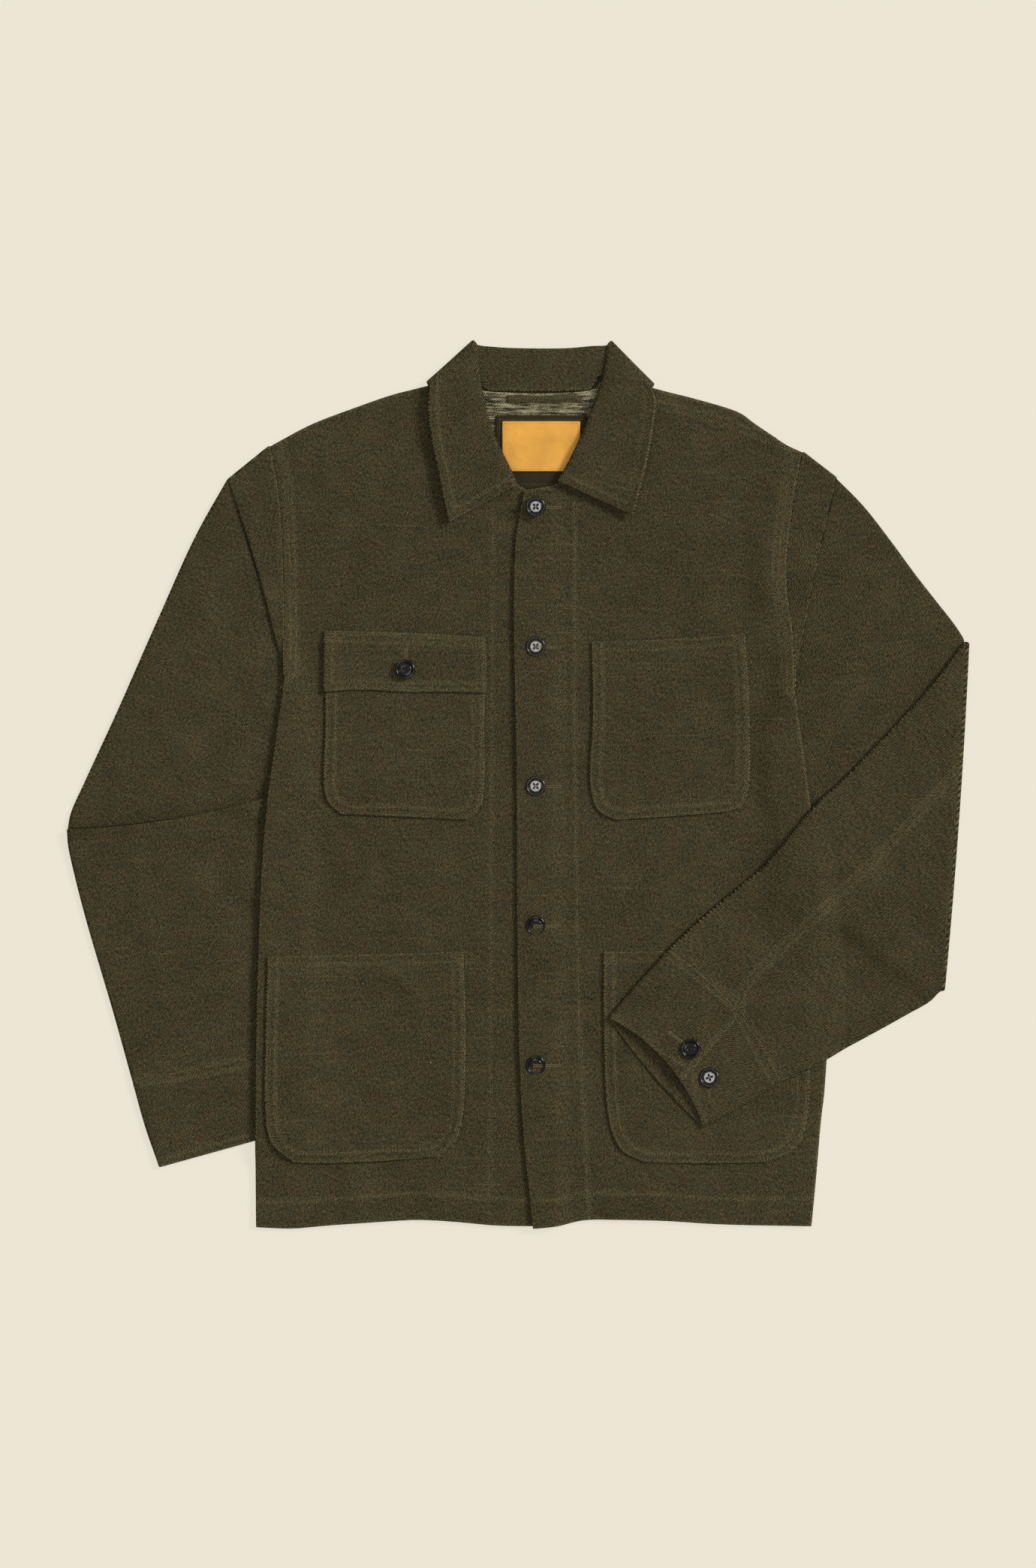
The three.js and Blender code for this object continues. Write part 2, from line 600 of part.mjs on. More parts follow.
// The left cuff is one band. It starts with the buttonhole end on top, goes round the far edge,
// under, and round the near edge, and ends on top again beneath its own start.
// s: place across the cuff from its near edge, or beyond: how far past the tab's edge.
// wall: 1 upper, -1 lower, 0 at an edge. rise: how far it stands above the wall beneath it.
const CUFF_BAND = {
  columns: ['s', 'beyond', 'wall', 'rise'],
  rows: [
    [null, 0, 1, 2.6], [null, 0.15, 1, 2.6], [null, 0.3, 1, 2.6], [0.84, 0, 1, 1.6], [0.985, 0, 1, 0],
    [1, 0, 0, 0],
    [0.985, 0, -1, 0], [0.75, 0, -1, 0], [0.5, 0, -1, 0], [0.25, 0, -1, 0], [0.015, 0, -1, 0],
    [0, 0, 0, 0],
    [0.015, 0, 1, 0], [0.2, 0, 1, 0.6], [0.4, 0, 1, 0.6], [0.62, 0, 1, 0.6],
  ],
};
const bandStops = records(CUFF_BAND);
const cuffRows = records(CUFF_LEFT);
const shareOf = (stop, row) => stop.s ?? row.tab + stop.beyond;
const bandPlan = cuffRows.map((row) => {
  const near = new THREE.Vector3(row.near_x, row.near_y, 0);
  const far = new THREE.Vector3(row.far_x, row.far_y, 0);
  const side = new THREE.Vector3(near.y - far.y, far.x - near.x, 0).normalize();
  return bandStops.map((stop) => {
    const s = shareOf(stop, row);
    const bow = stop.wall < 0 ? row.bow_under : row.bow;
    return near.clone().lerp(far, s).addScaledVector(side, bow * 4 * s * (1 - s));
  });
});
const cuffLeft = bandPlan.map((line, i) => line.map((p, j) => {
  const { wall, rise } = bandStops[j];
  const gape = wall > 0 ? cuffRows[i].gape * Math.sin(Math.PI * shareOf(bandStops[j], cuffRows[i])) : 0;
  const middle = onPile(p.x, p.y, reachOf(bandPlan, i, j)) + CLOTH / 2 + TUBE_HALF;
  return p.clone().setZ(middle + wall * TUBE_HALF + rise + gape);
}));
pile.lay(cuffLeft, CLOTH);
add('cuff_left', thicken(cuffLeft, CLOTH), 'cloth');

// ---------- buttons ----------

// A button's half section: a flat back, a raised rim and a dished middle.
const R = FRONT_BUTTON / 2;
const BUTTON_PROFILE = [
  [0, 0], [0.72 * R, 0], [R, 0.35 * BUTTON_THICK], [R, 0.7 * BUTTON_THICK],
  [0.86 * R, BUTTON_THICK], [0.7 * R, 0.82 * BUTTON_THICK], [0.58 * R, 0.62 * BUTTON_THICK],
  [0, 0.5 * BUTTON_THICK],
];
const BUTTON_SIDES = 16;
const THREAD_SHANK = 0.5;   // space that the thread leaves under a button

function button(name, x, y) {
  const profile = BUTTON_PROFILE.map(([r, z]) => new THREE.Vector2(r, z));
  const geometry = new THREE.LatheGeometry(profile, BUTTON_SIDES).rotateX(Math.PI / 2);
  const mesh = add(name, geometry, 'button');
  mesh.position.set(x, y, pile.under(x, y, R + CELL) + THREAD_SHANK);
}

for (let n = 0; n < 5; n++) button(`button_${n + 1}`, BUTTON_X, BUTTON_TOP_Y - n * BUTTON_STEP);
button('button_flap', -102, 104);
button('button_cuff_1', 156, -239);
button('button_cuff_2', 173, -265);

// ---------- origin: middle of the whole jacket, on the surface it lies on ----------

const box = new THREE.Box3().setFromObject(jacket);
const middle = box.getCenter(new THREE.Vector3());
jacket.position.set(-middle.x, -middle.y, -box.min.z);

export default jacket;
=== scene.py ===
# %% [markdown]
# # A chore jacket, laid flat
# The jacket is cut from heavy olive-brown cotton twill. It lies buttoned on its back, with its right
# sleeve down and its left sleeve folded across the front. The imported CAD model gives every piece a
# place and a thick, plain form. This lesson rebuilds each piece as fine cloth: it lays the pieces on
# each other in the order in which a hand would, then sews, buttons and lights them.

import math

import bpy
import numpy as np
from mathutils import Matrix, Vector


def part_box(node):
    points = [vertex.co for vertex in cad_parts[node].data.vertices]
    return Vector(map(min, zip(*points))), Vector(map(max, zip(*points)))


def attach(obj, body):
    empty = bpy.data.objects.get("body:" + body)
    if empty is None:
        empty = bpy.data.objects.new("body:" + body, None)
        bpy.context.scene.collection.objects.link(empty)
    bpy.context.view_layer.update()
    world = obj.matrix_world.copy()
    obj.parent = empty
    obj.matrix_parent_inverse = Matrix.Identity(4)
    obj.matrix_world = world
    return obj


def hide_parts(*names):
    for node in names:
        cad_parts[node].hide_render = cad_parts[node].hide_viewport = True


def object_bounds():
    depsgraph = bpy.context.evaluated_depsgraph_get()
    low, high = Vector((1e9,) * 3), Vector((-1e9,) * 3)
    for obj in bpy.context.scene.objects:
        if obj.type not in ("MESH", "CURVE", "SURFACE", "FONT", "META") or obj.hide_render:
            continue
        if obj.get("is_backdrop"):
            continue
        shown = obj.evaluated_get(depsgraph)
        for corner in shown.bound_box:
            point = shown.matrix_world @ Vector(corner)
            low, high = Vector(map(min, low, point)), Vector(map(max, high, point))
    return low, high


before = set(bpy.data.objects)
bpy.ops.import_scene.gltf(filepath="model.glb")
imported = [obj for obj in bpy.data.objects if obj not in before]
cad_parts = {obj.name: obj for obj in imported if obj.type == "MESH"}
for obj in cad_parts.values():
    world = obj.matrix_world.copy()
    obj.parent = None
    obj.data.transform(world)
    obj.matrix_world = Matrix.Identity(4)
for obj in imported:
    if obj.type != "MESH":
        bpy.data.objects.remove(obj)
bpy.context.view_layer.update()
MM = 0.001

# %% [markdown]
# The tables below are in millimetres of plan, measured from the middle of the jacket. The CAD model
# was shifted a little to centre it, so a button whose place is known gives the shift back.

# %% Sizes shared by all pieces
CLOTH = 1.5             # one ply of the twill, as in the CAD model
COLLAR_PLY = 2.4        # two plies, sewn and pressed
TAPE = 1.0
GAP = 0.3               # air between two plies that touch
BUTTON_X, BUTTON_TOP_Y, BUTTON_STEP = 16, 251, 126.3
LOW, HIGH = (np.array(corner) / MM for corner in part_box("button_1"))
SHIFT = (LOW + HIGH)[:2] / 2 - (BUTTON_X, BUTTON_TOP_Y)
print("plan shift, mm:", SHIFT.round(2))

# %% [markdown]
# ## Curves and patches
# A pattern piece is drawn as a few points joined by a smooth curve. The curve is a centripetal
# Catmull-Rom spline, which runs through its points and never loops. A panel is then a Coons patch: a
# grid of points that blends from one edge to the opposite one in both directions at once.

# %% Curves and patches
FINE = 24               # samples in each span of a curve


def smooth(points, count):
    """A smooth run through the points, cut into `count` equal lengths."""
    p = np.asarray(points, float)
    p = np.vstack([2 * p[0] - p[1], p, 2 * p[-1] - p[-2]])
    gap = np.sqrt(np.linalg.norm(np.diff(p, axis=0), axis=1)) + 1e-9
    t = np.linspace(0, 1, FINE, endpoint=False)[:, None]
    runs = []
    for k in range(1, len(p) - 2):
        a, b, c = gap[k - 1:k + 2]
        start = ((p[k] - p[k - 1]) / a - (p[k + 1] - p[k - 1]) / (a + b) + (p[k + 1] - p[k]) / b) * b
        end = ((p[k + 1] - p[k]) / b - (p[k + 2] - p[k]) / (b + c) + (p[k + 2] - p[k + 1]) / c) * b
        runs.append((2 * t**3 - 3 * t**2 + 1) * p[k] + (t**3 - 2 * t**2 + t) * start
                    + (3 * t**2 - 2 * t**3) * p[k + 1] + (t**3 - t**2) * end)
    run = np.vstack([*runs, p[-2:-1]])
    return even(run, count)


def lengths(run):
    """The length of a run of points up to each of them."""
    return np.concatenate([[0], np.cumsum(np.linalg.norm(np.diff(run, axis=0), axis=1))])


def even(run, count):
    """The same run with evenly spaced points."""
    run = np.asarray(run, float)
    at = lengths(run)
    stops = np.linspace(0, at[-1], count + 1)
    return np.column_stack([np.interp(stops, at, run[:, c]) for c in range(run.shape[1])])


def chain(*pieces):
    """Smooth runs end to end, with the corners between them kept."""
    runs = [smooth(points, count) for points, count in pieces]
    return np.vstack([runs[0]] + [run[1:] for run in runs[1:]])


def patch(bottom, top, left, right):
    """A grid of plan points between four edges, rows from bottom to top."""
    u = np.linspace(0, 1, len(bottom))[None, :, None]
    v = np.linspace(0, 1, len(left))[:, None, None]
    ends = (1 - v) * bottom[None] + v * top[None]
    sides = (1 - u) * left[:, None] + u * right[:, None]
    corners = ((1 - v) * ((1 - u) * bottom[0] + u * bottom[-1])
               + v * ((1 - u) * top[0] + u * top[-1]))
    return ends + sides - corners


def steps(points, pitch):
    """How many steps of `pitch` fit along some points."""
    return max(2, int(round(lengths(np.asarray(points, float))[-1] / pitch)))


# %% [markdown]
# ## The pile
# A jacket on a table is a pile of plies, and each ply takes the shape of what is under it, smoothed
# by its own stiffness. The pile is a height map. Laying a piece raises the map to the piece's top. The
# next piece rests on that map after it has been widened and then averaged over the same distance,
# which is always at or above the map itself, so plies never cut through each other.

# %% The pile
CELL = 1.5
FIELD = 450             # the map reaches this far each way
DENSE = 0.6             # spacing of the points that mark the map, in cells, so that none is missed


def windowed(values, reach, reduce, mode):
    """Reduces the values within reach of each cell, in x and then in y."""
    for axis in (0, 1):
        padded = np.pad(values, [(reach, reach) if k == axis else (0, 0) for k in (0, 1)], mode=mode)
        values = reduce(np.lib.stride_tricks.sliding_window_view(padded, 2 * reach + 1, axis=axis), axis=-1)
    return values


class Pile:
    def __init__(self):
        self.top = np.zeros((int(2 * FIELD / CELL), int(2 * FIELD / CELL)))

    def lay(self, grid, ply):
        """Raises the map to the top of a middle surface with this ply."""
        dense = np.asarray(grid, float)
        for axis in (0, 1):
            spacing = np.linalg.norm(np.diff(grid, axis=axis), axis=2).max()
            times = max(1, math.ceil(spacing / (DENSE * CELL)))
            count = dense.shape[axis]
            at = np.linspace(0, count - 1, (count - 1) * times + 1)
            low = np.minimum(at.astype(int), count - 2)
            share = (at - low).reshape([-1 if k == axis else 1 for k in range(3)])
            dense = np.take(dense, low, axis) * (1 - share) + np.take(dense, low + 1, axis) * share
        x = np.rint((dense[..., 0] + FIELD) / CELL).astype(int).ravel()
        y = np.rint((dense[..., 1] + FIELD) / CELL).astype(int).ravel()
        np.maximum.at(self.top, (y, x), dense[..., 2].ravel() + ply / 2)

    @staticmethod
    def read(values, x, y):
        """The map's value at plan points, between its cells."""
        cx, cy = (np.clip((np.asarray(c) + FIELD) / CELL, 0, len(values) - 1.001) for c in (x, y))
        ix, iy = cx.astype(int), cy.astype(int)
        fx, fy = cx - ix, cy - iy
        low = values[iy, ix] * (1 - fx) + values[iy, ix + 1] * fx
        high = values[iy + 1, ix] * (1 - fx) + values[iy + 1, ix + 1] * fx
        return low * (1 - fy) + high * fy

    def rest(self, x, y, soft):
        """Where the underside of a ply of this softness, in millimetres, comes to rest."""
        reach = max(1, round(soft / CELL))
        level = windowed(windowed(self.top, reach, np.max, "edge"), reach, np.mean, "edge")
        level = self.read(level, x, y)
        return level + GAP * np.clip(level, 0, 1)


pile = Pile()
tops, zones = {}, {}    # the pile when each piece had been laid, and where that piece raised it
RAISED = 0.05


def settle(name, grid, ply):
    """Lays a piece on the pile and keeps the map of its top."""
    before = pile.top.copy()
    pile.lay(grid, ply)
    tops[name], zones[name] = pile.top.copy(), (pile.top > before + RAISED) * 1.0


print("pile map:", pile.top.shape)

# %% [markdown]
# ## Rows of stitches
# Each row of stitches is a run of points in plan. It does three things to the cloth: it pulls a small
# groove, it ends the place where a hem or an allowance is folded under and the cloth is doubled, and
# it carries thread. The first two need to know how far a point lies from the row and on which side.

# %% Distances from a row
FAR = 99.0              # a row that isn't there
BATCH = 4000            # points measured at a time


def inset(points, distance):
    """The same corners moved to the left of the way they run, with mitred corners."""
    p = np.asarray(points, float)
    ahead = unit(np.diff(p, axis=0))
    normal = np.column_stack([-ahead[:, 1], ahead[:, 0]])
    a, b = np.vstack([normal[:1], normal]), np.vstack([normal, normal[-1:]])
    return p + distance * (a + b) / (1 + (a * b).sum(axis=1))[:, None]


def signed(xy, run):
    """Distance of plan points from a run, above 0 on its left, as if its ends ran on for ever."""
    points = np.asarray(xy, float).reshape(-1, 2)
    ahead = np.diff(run, axis=0)
    size = (ahead**2).sum(axis=1)
    low, high = np.zeros(len(ahead)), np.ones(len(ahead))
    low[0], high[-1] = -np.inf, np.inf
    found = []
    for part in np.array_split(points, max(1, len(points) // BATCH)):
        away = part[:, None] - run[None, :-1]
        share = np.clip((away * ahead).sum(axis=2) / size, low, high)
        gap = away - share[..., None] * ahead
        distance = np.linalg.norm(gap, axis=2)
        nearest = distance.argmin(axis=1)
        pick = np.arange(len(part))
        side = ahead[nearest, 0] * away[pick, nearest, 1] - ahead[nearest, 1] * away[pick, nearest, 0]
        found.append(distance[pick, nearest] * np.where(side < 0, -1, 1))
    return np.concatenate(found).reshape(np.shape(xy)[:-1])


def unit(v):
    return v / np.maximum(np.linalg.norm(v, axis=-1, keepdims=True), 1e-9)


def soft_step(v):
    """0 below 0, 1 above 1 and smooth between."""
    v = np.clip(v, 0, 1)
    return v * v * (3 - 2 * v)


# %% [markdown]
# ## Making a cloth mesh
# Every piece is a grid of middle points. Its mesh is a closed shell: the grid moved out by half the
# ply on each side, and a rounded edge in between. A tube is the same with its last column joined to
# its first. The UV map holds the cloth's own grain in metres, so the weave follows each piece as it
# was cut. Three attributes tell the finish more: "rows_a" and "rows_b" hold the distances from up to
# six rows of stitches, in millimetres, and "wear" says where washing has paled the cloth.

# %% Making a cloth mesh
EDGE_ROUND = 0.4        # how far an edge bulges, in plies
EDGE_WEAR = 0.8
PALE, PALE_WIDTH = 0.6, 1.8     # how much the cloth beside a row has paled, and how far out
pieces = {}
CUT = {}                # piece: width, length and area before it was laid, in millimetres


def cut_size(grid, ring):
    """The longest row and column of a grid, and the area of the cloth in it."""
    if ring:
        grid = np.concatenate([grid, grid[:, :1]], axis=1)
    across = np.linalg.norm(np.diff(grid, axis=1), axis=2).sum(axis=1).max()
    along = np.linalg.norm(np.diff(grid, axis=0), axis=2).sum(axis=0).max()
    one, two = grid[1:, 1:] - grid[:-1, :-1], grid[1:, :-1] - grid[:-1, 1:]
    area = np.linalg.norm(np.cross(one, two), axis=2).sum() / 2
    return across, along, min(area, across * along)


def surface_normals(grid, ring):
    """Unit normals of a grid, averaged a little so that tight bends stay clean."""
    along = np.gradient(grid, axis=0)
    if ring:
        across = (np.roll(grid, -1, axis=1) - np.roll(grid, 1, axis=1)) / 2
    else:
        across = np.gradient(grid, axis=1)
    normal = unit(np.cross(across, along))
    wide = np.pad(normal, [(1, 1), (0, 0), (0, 0)], mode="edge")
    return unit(2 * normal + wide[:-2] + wide[2:])


def perimeter(rows, columns, ring):
    """Loops of edge points with, for each, the point just inside it."""
    n = np.arange(rows * columns).reshape(rows, columns)
    if ring:
        return [(n[0], n[1]), (n[-1][::-1], n[-2][::-1])]
    edge = np.concatenate([n[0, :-1], n[:-1, -1], n[-1, :0:-1], n[:0:-1, 0]])
    r, c = np.divmod(edge, columns)
    inside = n[np.clip(r, 1, rows - 2), np.clip(c, 1, columns - 2)]
    return [(edge, inside)]


def grain_uv(xy, degrees):
    """Plan points turned so that the warp runs up, in metres."""
    turn = np.radians(degrees)
    x, y = xy[..., 0], xy[..., 1]
    return np.stack([x * np.cos(turn) + y * np.sin(turn), y * np.cos(turn) - x * np.sin(turn)], axis=-1) * MM


def placed(name, data):
    """Puts a mesh, a lamp or a camera in the scene."""
    obj = bpy.data.objects.new(name, data)
    bpy.context.collection.objects.link(obj)
    return obj


def row_wear(nearby):
    """Washing pales the cloth beside its rows."""
    return PALE * soft_step(1.5 - np.min(np.abs(nearby), axis=0) / PALE_WIDTH)


def cloth_mesh(name, grid, ply, uv, finish, nearby, ring=False, below=None):
    """Builds the closed shell of one piece. uv has one more column on a ring."""
    rows, columns = grid.shape[:2]
    CUT[name] = cut_size(grid, ring)
    normal = surface_normals(grid, ring)
    if not ring and normal[..., 2].mean() < 0:
        normal = -normal
    count = rows * columns
    number = np.arange(count).reshape(rows, columns)
    place = np.arange(rows * uv.shape[1]).reshape(rows, -1)
    if ring:
        number = np.hstack([number, number[:, :1]])
    faces, spots = [], []
    for shift, turn in ((0, 1), (count, -1)):
        for table, found in ((number + shift, faces), (place, spots)):
            quad = [table[:-1, :-1], table[:-1, 1:], table[1:, 1:], table[1:, :-1]][::turn]
            found.append(np.stack(quad, axis=-1).reshape(-1, 4))
    points = [(grid + normal * ply / 2).reshape(-1, 3), (grid - normal * ply / 2).reshape(-1, 3)]
    owners = [np.arange(count), np.arange(count)]
    flat, start = grid.reshape(-1, 3), 2 * count
    faded = row_wear(nearby).ravel() if nearby else np.zeros(count)
    for edge, neighbour in perimeter(rows, columns, ring):
        faded[edge] = np.maximum(faded[edge], EDGE_WEAR)
        points.append(flat[edge] + unit(flat[edge] - flat[neighbour]) * ply * EDGE_ROUND)
        owners.append(edge)
        rim = start + np.arange(len(edge))
        nxt = np.roll(np.arange(len(edge)), -1)
        faces.append(np.stack([edge, rim, rim[nxt], edge[nxt]], axis=-1))
        faces.append(np.stack([rim, edge + count, edge[nxt] + count, rim[nxt]], axis=-1))
        r, c = np.divmod(edge, columns)
        spot = place[r, c]
        spots += [np.stack([spot, spot, spot[nxt], spot[nxt]], axis=-1)] * 2
        start += len(edge)
    points = np.vstack(points)
    points[:, :2] += SHIFT
    faces, spots, owners = np.vstack(faces), np.vstack(spots), np.concatenate(owners)
    a, b, c, d = points[faces.T]
    if (np.einsum("ij,ij->i", a, np.cross(b, c)) + np.einsum("ij,ij->i", a, np.cross(c, d))).sum() < 0:
        faces, spots = faces[:, ::-1], spots[:, ::-1]
    mesh = bpy.data.meshes.new(name)
    mesh.from_pydata((points * MM).tolist(), [], faces.tolist())
    mesh.uv_layers.new(name="grain").data.foreach_set("uv", uv.reshape(-1, 2)[spots.ravel()].ravel())
    mesh.attributes.new("wear", "FLOAT", "POINT").data.foreach_set("value", faded[owners])
    away = np.full((6, count), FAR)
    for k, distances in enumerate(nearby):
        away[k] = distances.ravel()
    for attribute, three in (("rows_a", away[:3]), ("rows_b", away[3:])):
        mesh.attributes.new(attribute, "FLOAT_VECTOR", "POINT").data.foreach_set("vector", three.T[owners].ravel())
    mesh.materials.append(finish)
    if below is not None:       # the other face of the cloth
        mesh.materials.append(below)
        kind = np.zeros(len(faces), int)
        kind[:(rows - 1) * (columns - 1)] = 1
        mesh.polygons.foreach_set("material_index", kind)
    mesh.polygons.foreach_set("use_smooth", [True] * len(mesh.polygons))
    mesh.update()
    pieces[name] = placed(name, mesh)
    print(f"{name}: {2 * len(mesh.polygons)} triangles, {np.ptp(points[:, 2]):.1f} mm high")


# %% [markdown]
# ## Fabric finish
# A washed, piece-dyed twill is never one colour. Brown and green fibres are blended in the yarn, the
# steep diagonal ribs catch the light, thicker weft yarns cross it as pale slubs, and a few white neps
# never took the dye. Each of these is one small pattern in the cloth's own grain, so the weave turns
# with each piece. Shader maths is easier to read as Python, so a small class wraps a socket.

# %% Shader maths
class Value:
    """A socket of a node tree that can be used in an expression."""

    def __init__(self, paint, socket):
        self.paint, self.socket = paint, socket

    def maths(self, operation, *others, clamp=False):
        operands = {k: other for k, other in enumerate((self, *others))}
        return self.paint.node("ShaderNodeMath", {"operation": operation, "use_clamp": clamp}, operands)

    def __add__(self, other):
        return self.maths("ADD", other)

    def __sub__(self, other):
        return self.maths("SUBTRACT", other)

    def __mul__(self, other):
        return self.maths("MULTIPLY", other)

    def __truediv__(self, other):
        return self.maths("DIVIDE", other)

    def __rsub__(self, other):
        return self.maths("MULTIPLY", -1) + other

    __radd__, __rmul__ = __add__, __mul__

    def above(self, level, soft):
        """0 below the level and 1 above it, over a soft step."""
        return ((self - (level - soft / 2)) / soft).maths("ADD", 0, clamp=True)

    def near(self, width):
        """1 where the value is 0, fading to 0 on both sides of it."""
        return (1 - self.maths("ABSOLUTE") / width).maths("ADD", 0, clamp=True)


class Paint:
    """A material under construction."""

    def __init__(self, name):
        self.material = bpy.data.materials.new(name)
        self.material.use_nodes = True
        self.tree = self.material.node_tree
        self.tree.nodes.clear()

    def node(self, kind, settings, sockets, output=0):
        """Adds a node: its settings first, then the value or link of each socket."""
        made = self.tree.nodes.new(kind)
        for key, value in settings.items():
            if key == "stops":
                ramp = made.color_ramp
                while len(ramp.elements) < len(value):
                    ramp.elements.new(1)
                for element, (place, colour) in zip(ramp.elements, value):
                    element.position, element.color = place, (*colour, 1)
            else:
                setattr(made, key, value)
        for key, value in sockets.items():
            if isinstance(value, Value):
                self.tree.links.new(value.socket, made.inputs[key])
            else:
                made.inputs[key].default_value = value
        return Value(self, made.outputs[output])

    def axis(self, vector, k):
        return self.node("ShaderNodeSeparateXYZ", {}, {0: vector}, output=k)

    def noise(self, vector, scale, detail=2):
        """Clouds from about 0.2 to 0.8, with their middle moved to 0."""
        return self.node("ShaderNodeTexNoise", {"normalize": True},
                         {"Vector": vector, "Scale": scale, "Detail": detail, "Roughness": 0.6}) - 0.5

    def mix(self, share, low, high):
        """Blends two colours."""
        return self.node("ShaderNodeMix", {"data_type": "RGBA"}, {0: share, 6: low, 7: high}, output=2)

    def ramp(self, value, *stops):
        return self.node("ShaderNodeValToRGB", {"stops": stops}, {0: value})

    def shades(self, value, colour, dark, pale):
        """One colour, from darker where the value is low to paler where it is high."""
        return self.ramp(value, *((at, [c * k for c in colour]) for at, k in ((0.3, dark), (0.7, pale))))

    def grain(self):
        return self.node("ShaderNodeUVMap", {"uv_map": "grain"}, {})

    def stretched(self, vector, x, y):
        """The same pattern coordinates, stretched."""
        return self.node("ShaderNodeMapping", {}, {"Vector": vector, "Scale": (x, y, 1)})

    def along_rows(self, width):
        """1 on the rows of stitches of a piece, fading out over a width in millimetres."""
        found = None
        for name in ("rows_a", "rows_b"):
            three = self.node("ShaderNodeAttribute", {"attribute_name": name}, {}, output=1)
            for k in range(3):
                here = self.axis(three, k).near(width)
                found = here if found is None else found.maths("MAXIMUM", here)
        return found

    def surface(self, colour, rough, height=None, **fixed):
        """Ends the material: a Principled surface, with a bump whose height is in millimetres."""
        sockets = {"Base Color": colour, "Roughness": rough, **fixed}
        if height is not None:
            sockets["Normal"] = self.node("ShaderNodeBump", {}, {"Height": height, "Strength": 1.0, "Distance": MM})
        shader = self.node("ShaderNodeBsdfPrincipled", {}, sockets)
        out = self.tree.nodes.new("ShaderNodeOutputMaterial")
        self.tree.links.new(shader.socket, out.inputs["Surface"])
        return self.material


def srgb(red, green, blue):
    """A colour as the eye sees it, 0 to 255, made linear for the shader."""
    def linear(c):
        c /= 255
        return c / 12.92 if c <= 0.04045 else ((c + 0.055) / 1.055) ** 2.4
    return tuple(linear(c) for c in (red, green, blue))


# %% [markdown]
# The two faces of the twill use the same recipe. The reverse, which shows only inside the neck, has
# more of the undyed weft in it, so it looks paler and streaked. Noise scales are features to the
# metre. Heights are in millimetres: a rib stands a tenth of one proud, a row of stitches sinks in by a
# third, and the cloth beside it puckers.

# %% Twill
RIB_PITCH = 0.00131     # from rib to rib, straight across them
RIB_LEAN = math.radians(65)


def twill(name, brown, green, weft, streak, mottled):
    """brown and green are each a dark, a middle and a pale shade. weft is how many yarns fit a metre."""
    p = Paint(name)
    grain = p.grain()
    u, v = p.axis(grain, 0), p.axis(grain, 1)
    across_ribs = u * math.sin(RIB_LEAN) - v * math.cos(RIB_LEAN)
    along_ribs = u * math.cos(RIB_LEAN) + v * math.sin(RIB_LEAN)
    rib_frame = p.node("ShaderNodeCombineXYZ", {}, {0: across_ribs, 1: along_ribs})
    waver = p.noise(grain, 300, 1) * 5
    ribs = (across_ribs * (2 * math.pi / RIB_PITCH) + waver).maths("SINE")
    fibres = p.noise(grain, 900)
    yarns = p.noise(p.stretched(grain, *weft), 1)
    slubs = (p.noise(p.stretched(grain, 14, 600), 1)).above(0.13, 0.12)
    patches = p.noise(grain, 40, 3)
    clouds = p.noise(grain, 8)
    wear = p.node("ShaderNodeAttribute", {"attribute_name": "wear"}, {}, output=2)
    sewn, beside = p.along_rows(0.9), p.along_rows(6)
    mottle = p.noise(p.stretched(rib_frame, 700, 340), 1, 2)
    # The tone is made darker along each row of stitches (sewn): painted shade in the groove that the row pulls into
    # the cloth.
    tone = (ribs * 0.26 + fibres * 1.0 + yarns * streak + mottle * mottled + patches * 0.2
            + clouds * 0.1 + slubs * 0.1 + wear * 0.15 - sewn * 0.12 + 0.48)
    colour = p.mix(p.noise(grain, 75, 3).above(0.04, 0.3), p.ramp(tone, *zip((0.1, 0.5, 0.95), brown)),
                   p.ramp(tone, *zip((0.1, 0.5, 0.95), green)))
    flecks = (fibres + mottle * 0.8).above(0.1, 0.1) * wear
    colour = p.mix(flecks * 0.45, colour, (*brown[2], 1))
    cell = {"Vector": grain, "Scale": 26}
    odd = p.axis(p.node("ShaderNodeTexVoronoi", {}, cell, output=1), 0).above(0.86, 0.01)
    nep = 1 - p.node("ShaderNodeTexVoronoi", {}, cell).above(0.012, 0.008)
    colour = p.mix(nep * odd * 0.8, colour, (0.6, 0.58, 0.52, 1))
    height = (ribs * 0.09 + fibres * 0.45 + yarns * 0.2 + slubs * 0.1 + patches * 0.2 + clouds * 0.5
              - sewn * 0.35 + p.noise(grain, 170) * beside * 0.9)
    return p.surface(colour, fibres * 0.12 + 0.9, height, **{"Specular IOR Level": 0.12})


BROWN = srgb(23, 17, 7), srgb(58, 49, 28), srgb(121, 109, 76)
GREEN = srgb(20, 20, 9), srgb(51, 49, 31), srgb(110, 106, 77)
TWILL = twill("olive_twill", BROWN, GREEN, weft=(110, 1250), streak=0.2, mottled=0.9)
REVERSE = twill("twill_reverse", (srgb(30, 25, 12), srgb(88, 80, 56), srgb(190, 180, 146)),
                (srgb(30, 28, 16), srgb(80, 76, 56), srgb(180, 174, 142)), weft=(55, 460), streak=2.4, mottled=0.5)
print("cloth finishes:", TWILL.name, REVERSE.name)


# %% [markdown]
# ## Outlines
# These are the pattern pieces as they lie, in plan, in millimetres: x to the wearer's left and y up to
# the collar. They follow the outlines of the CAD model, because both build the same jacket.

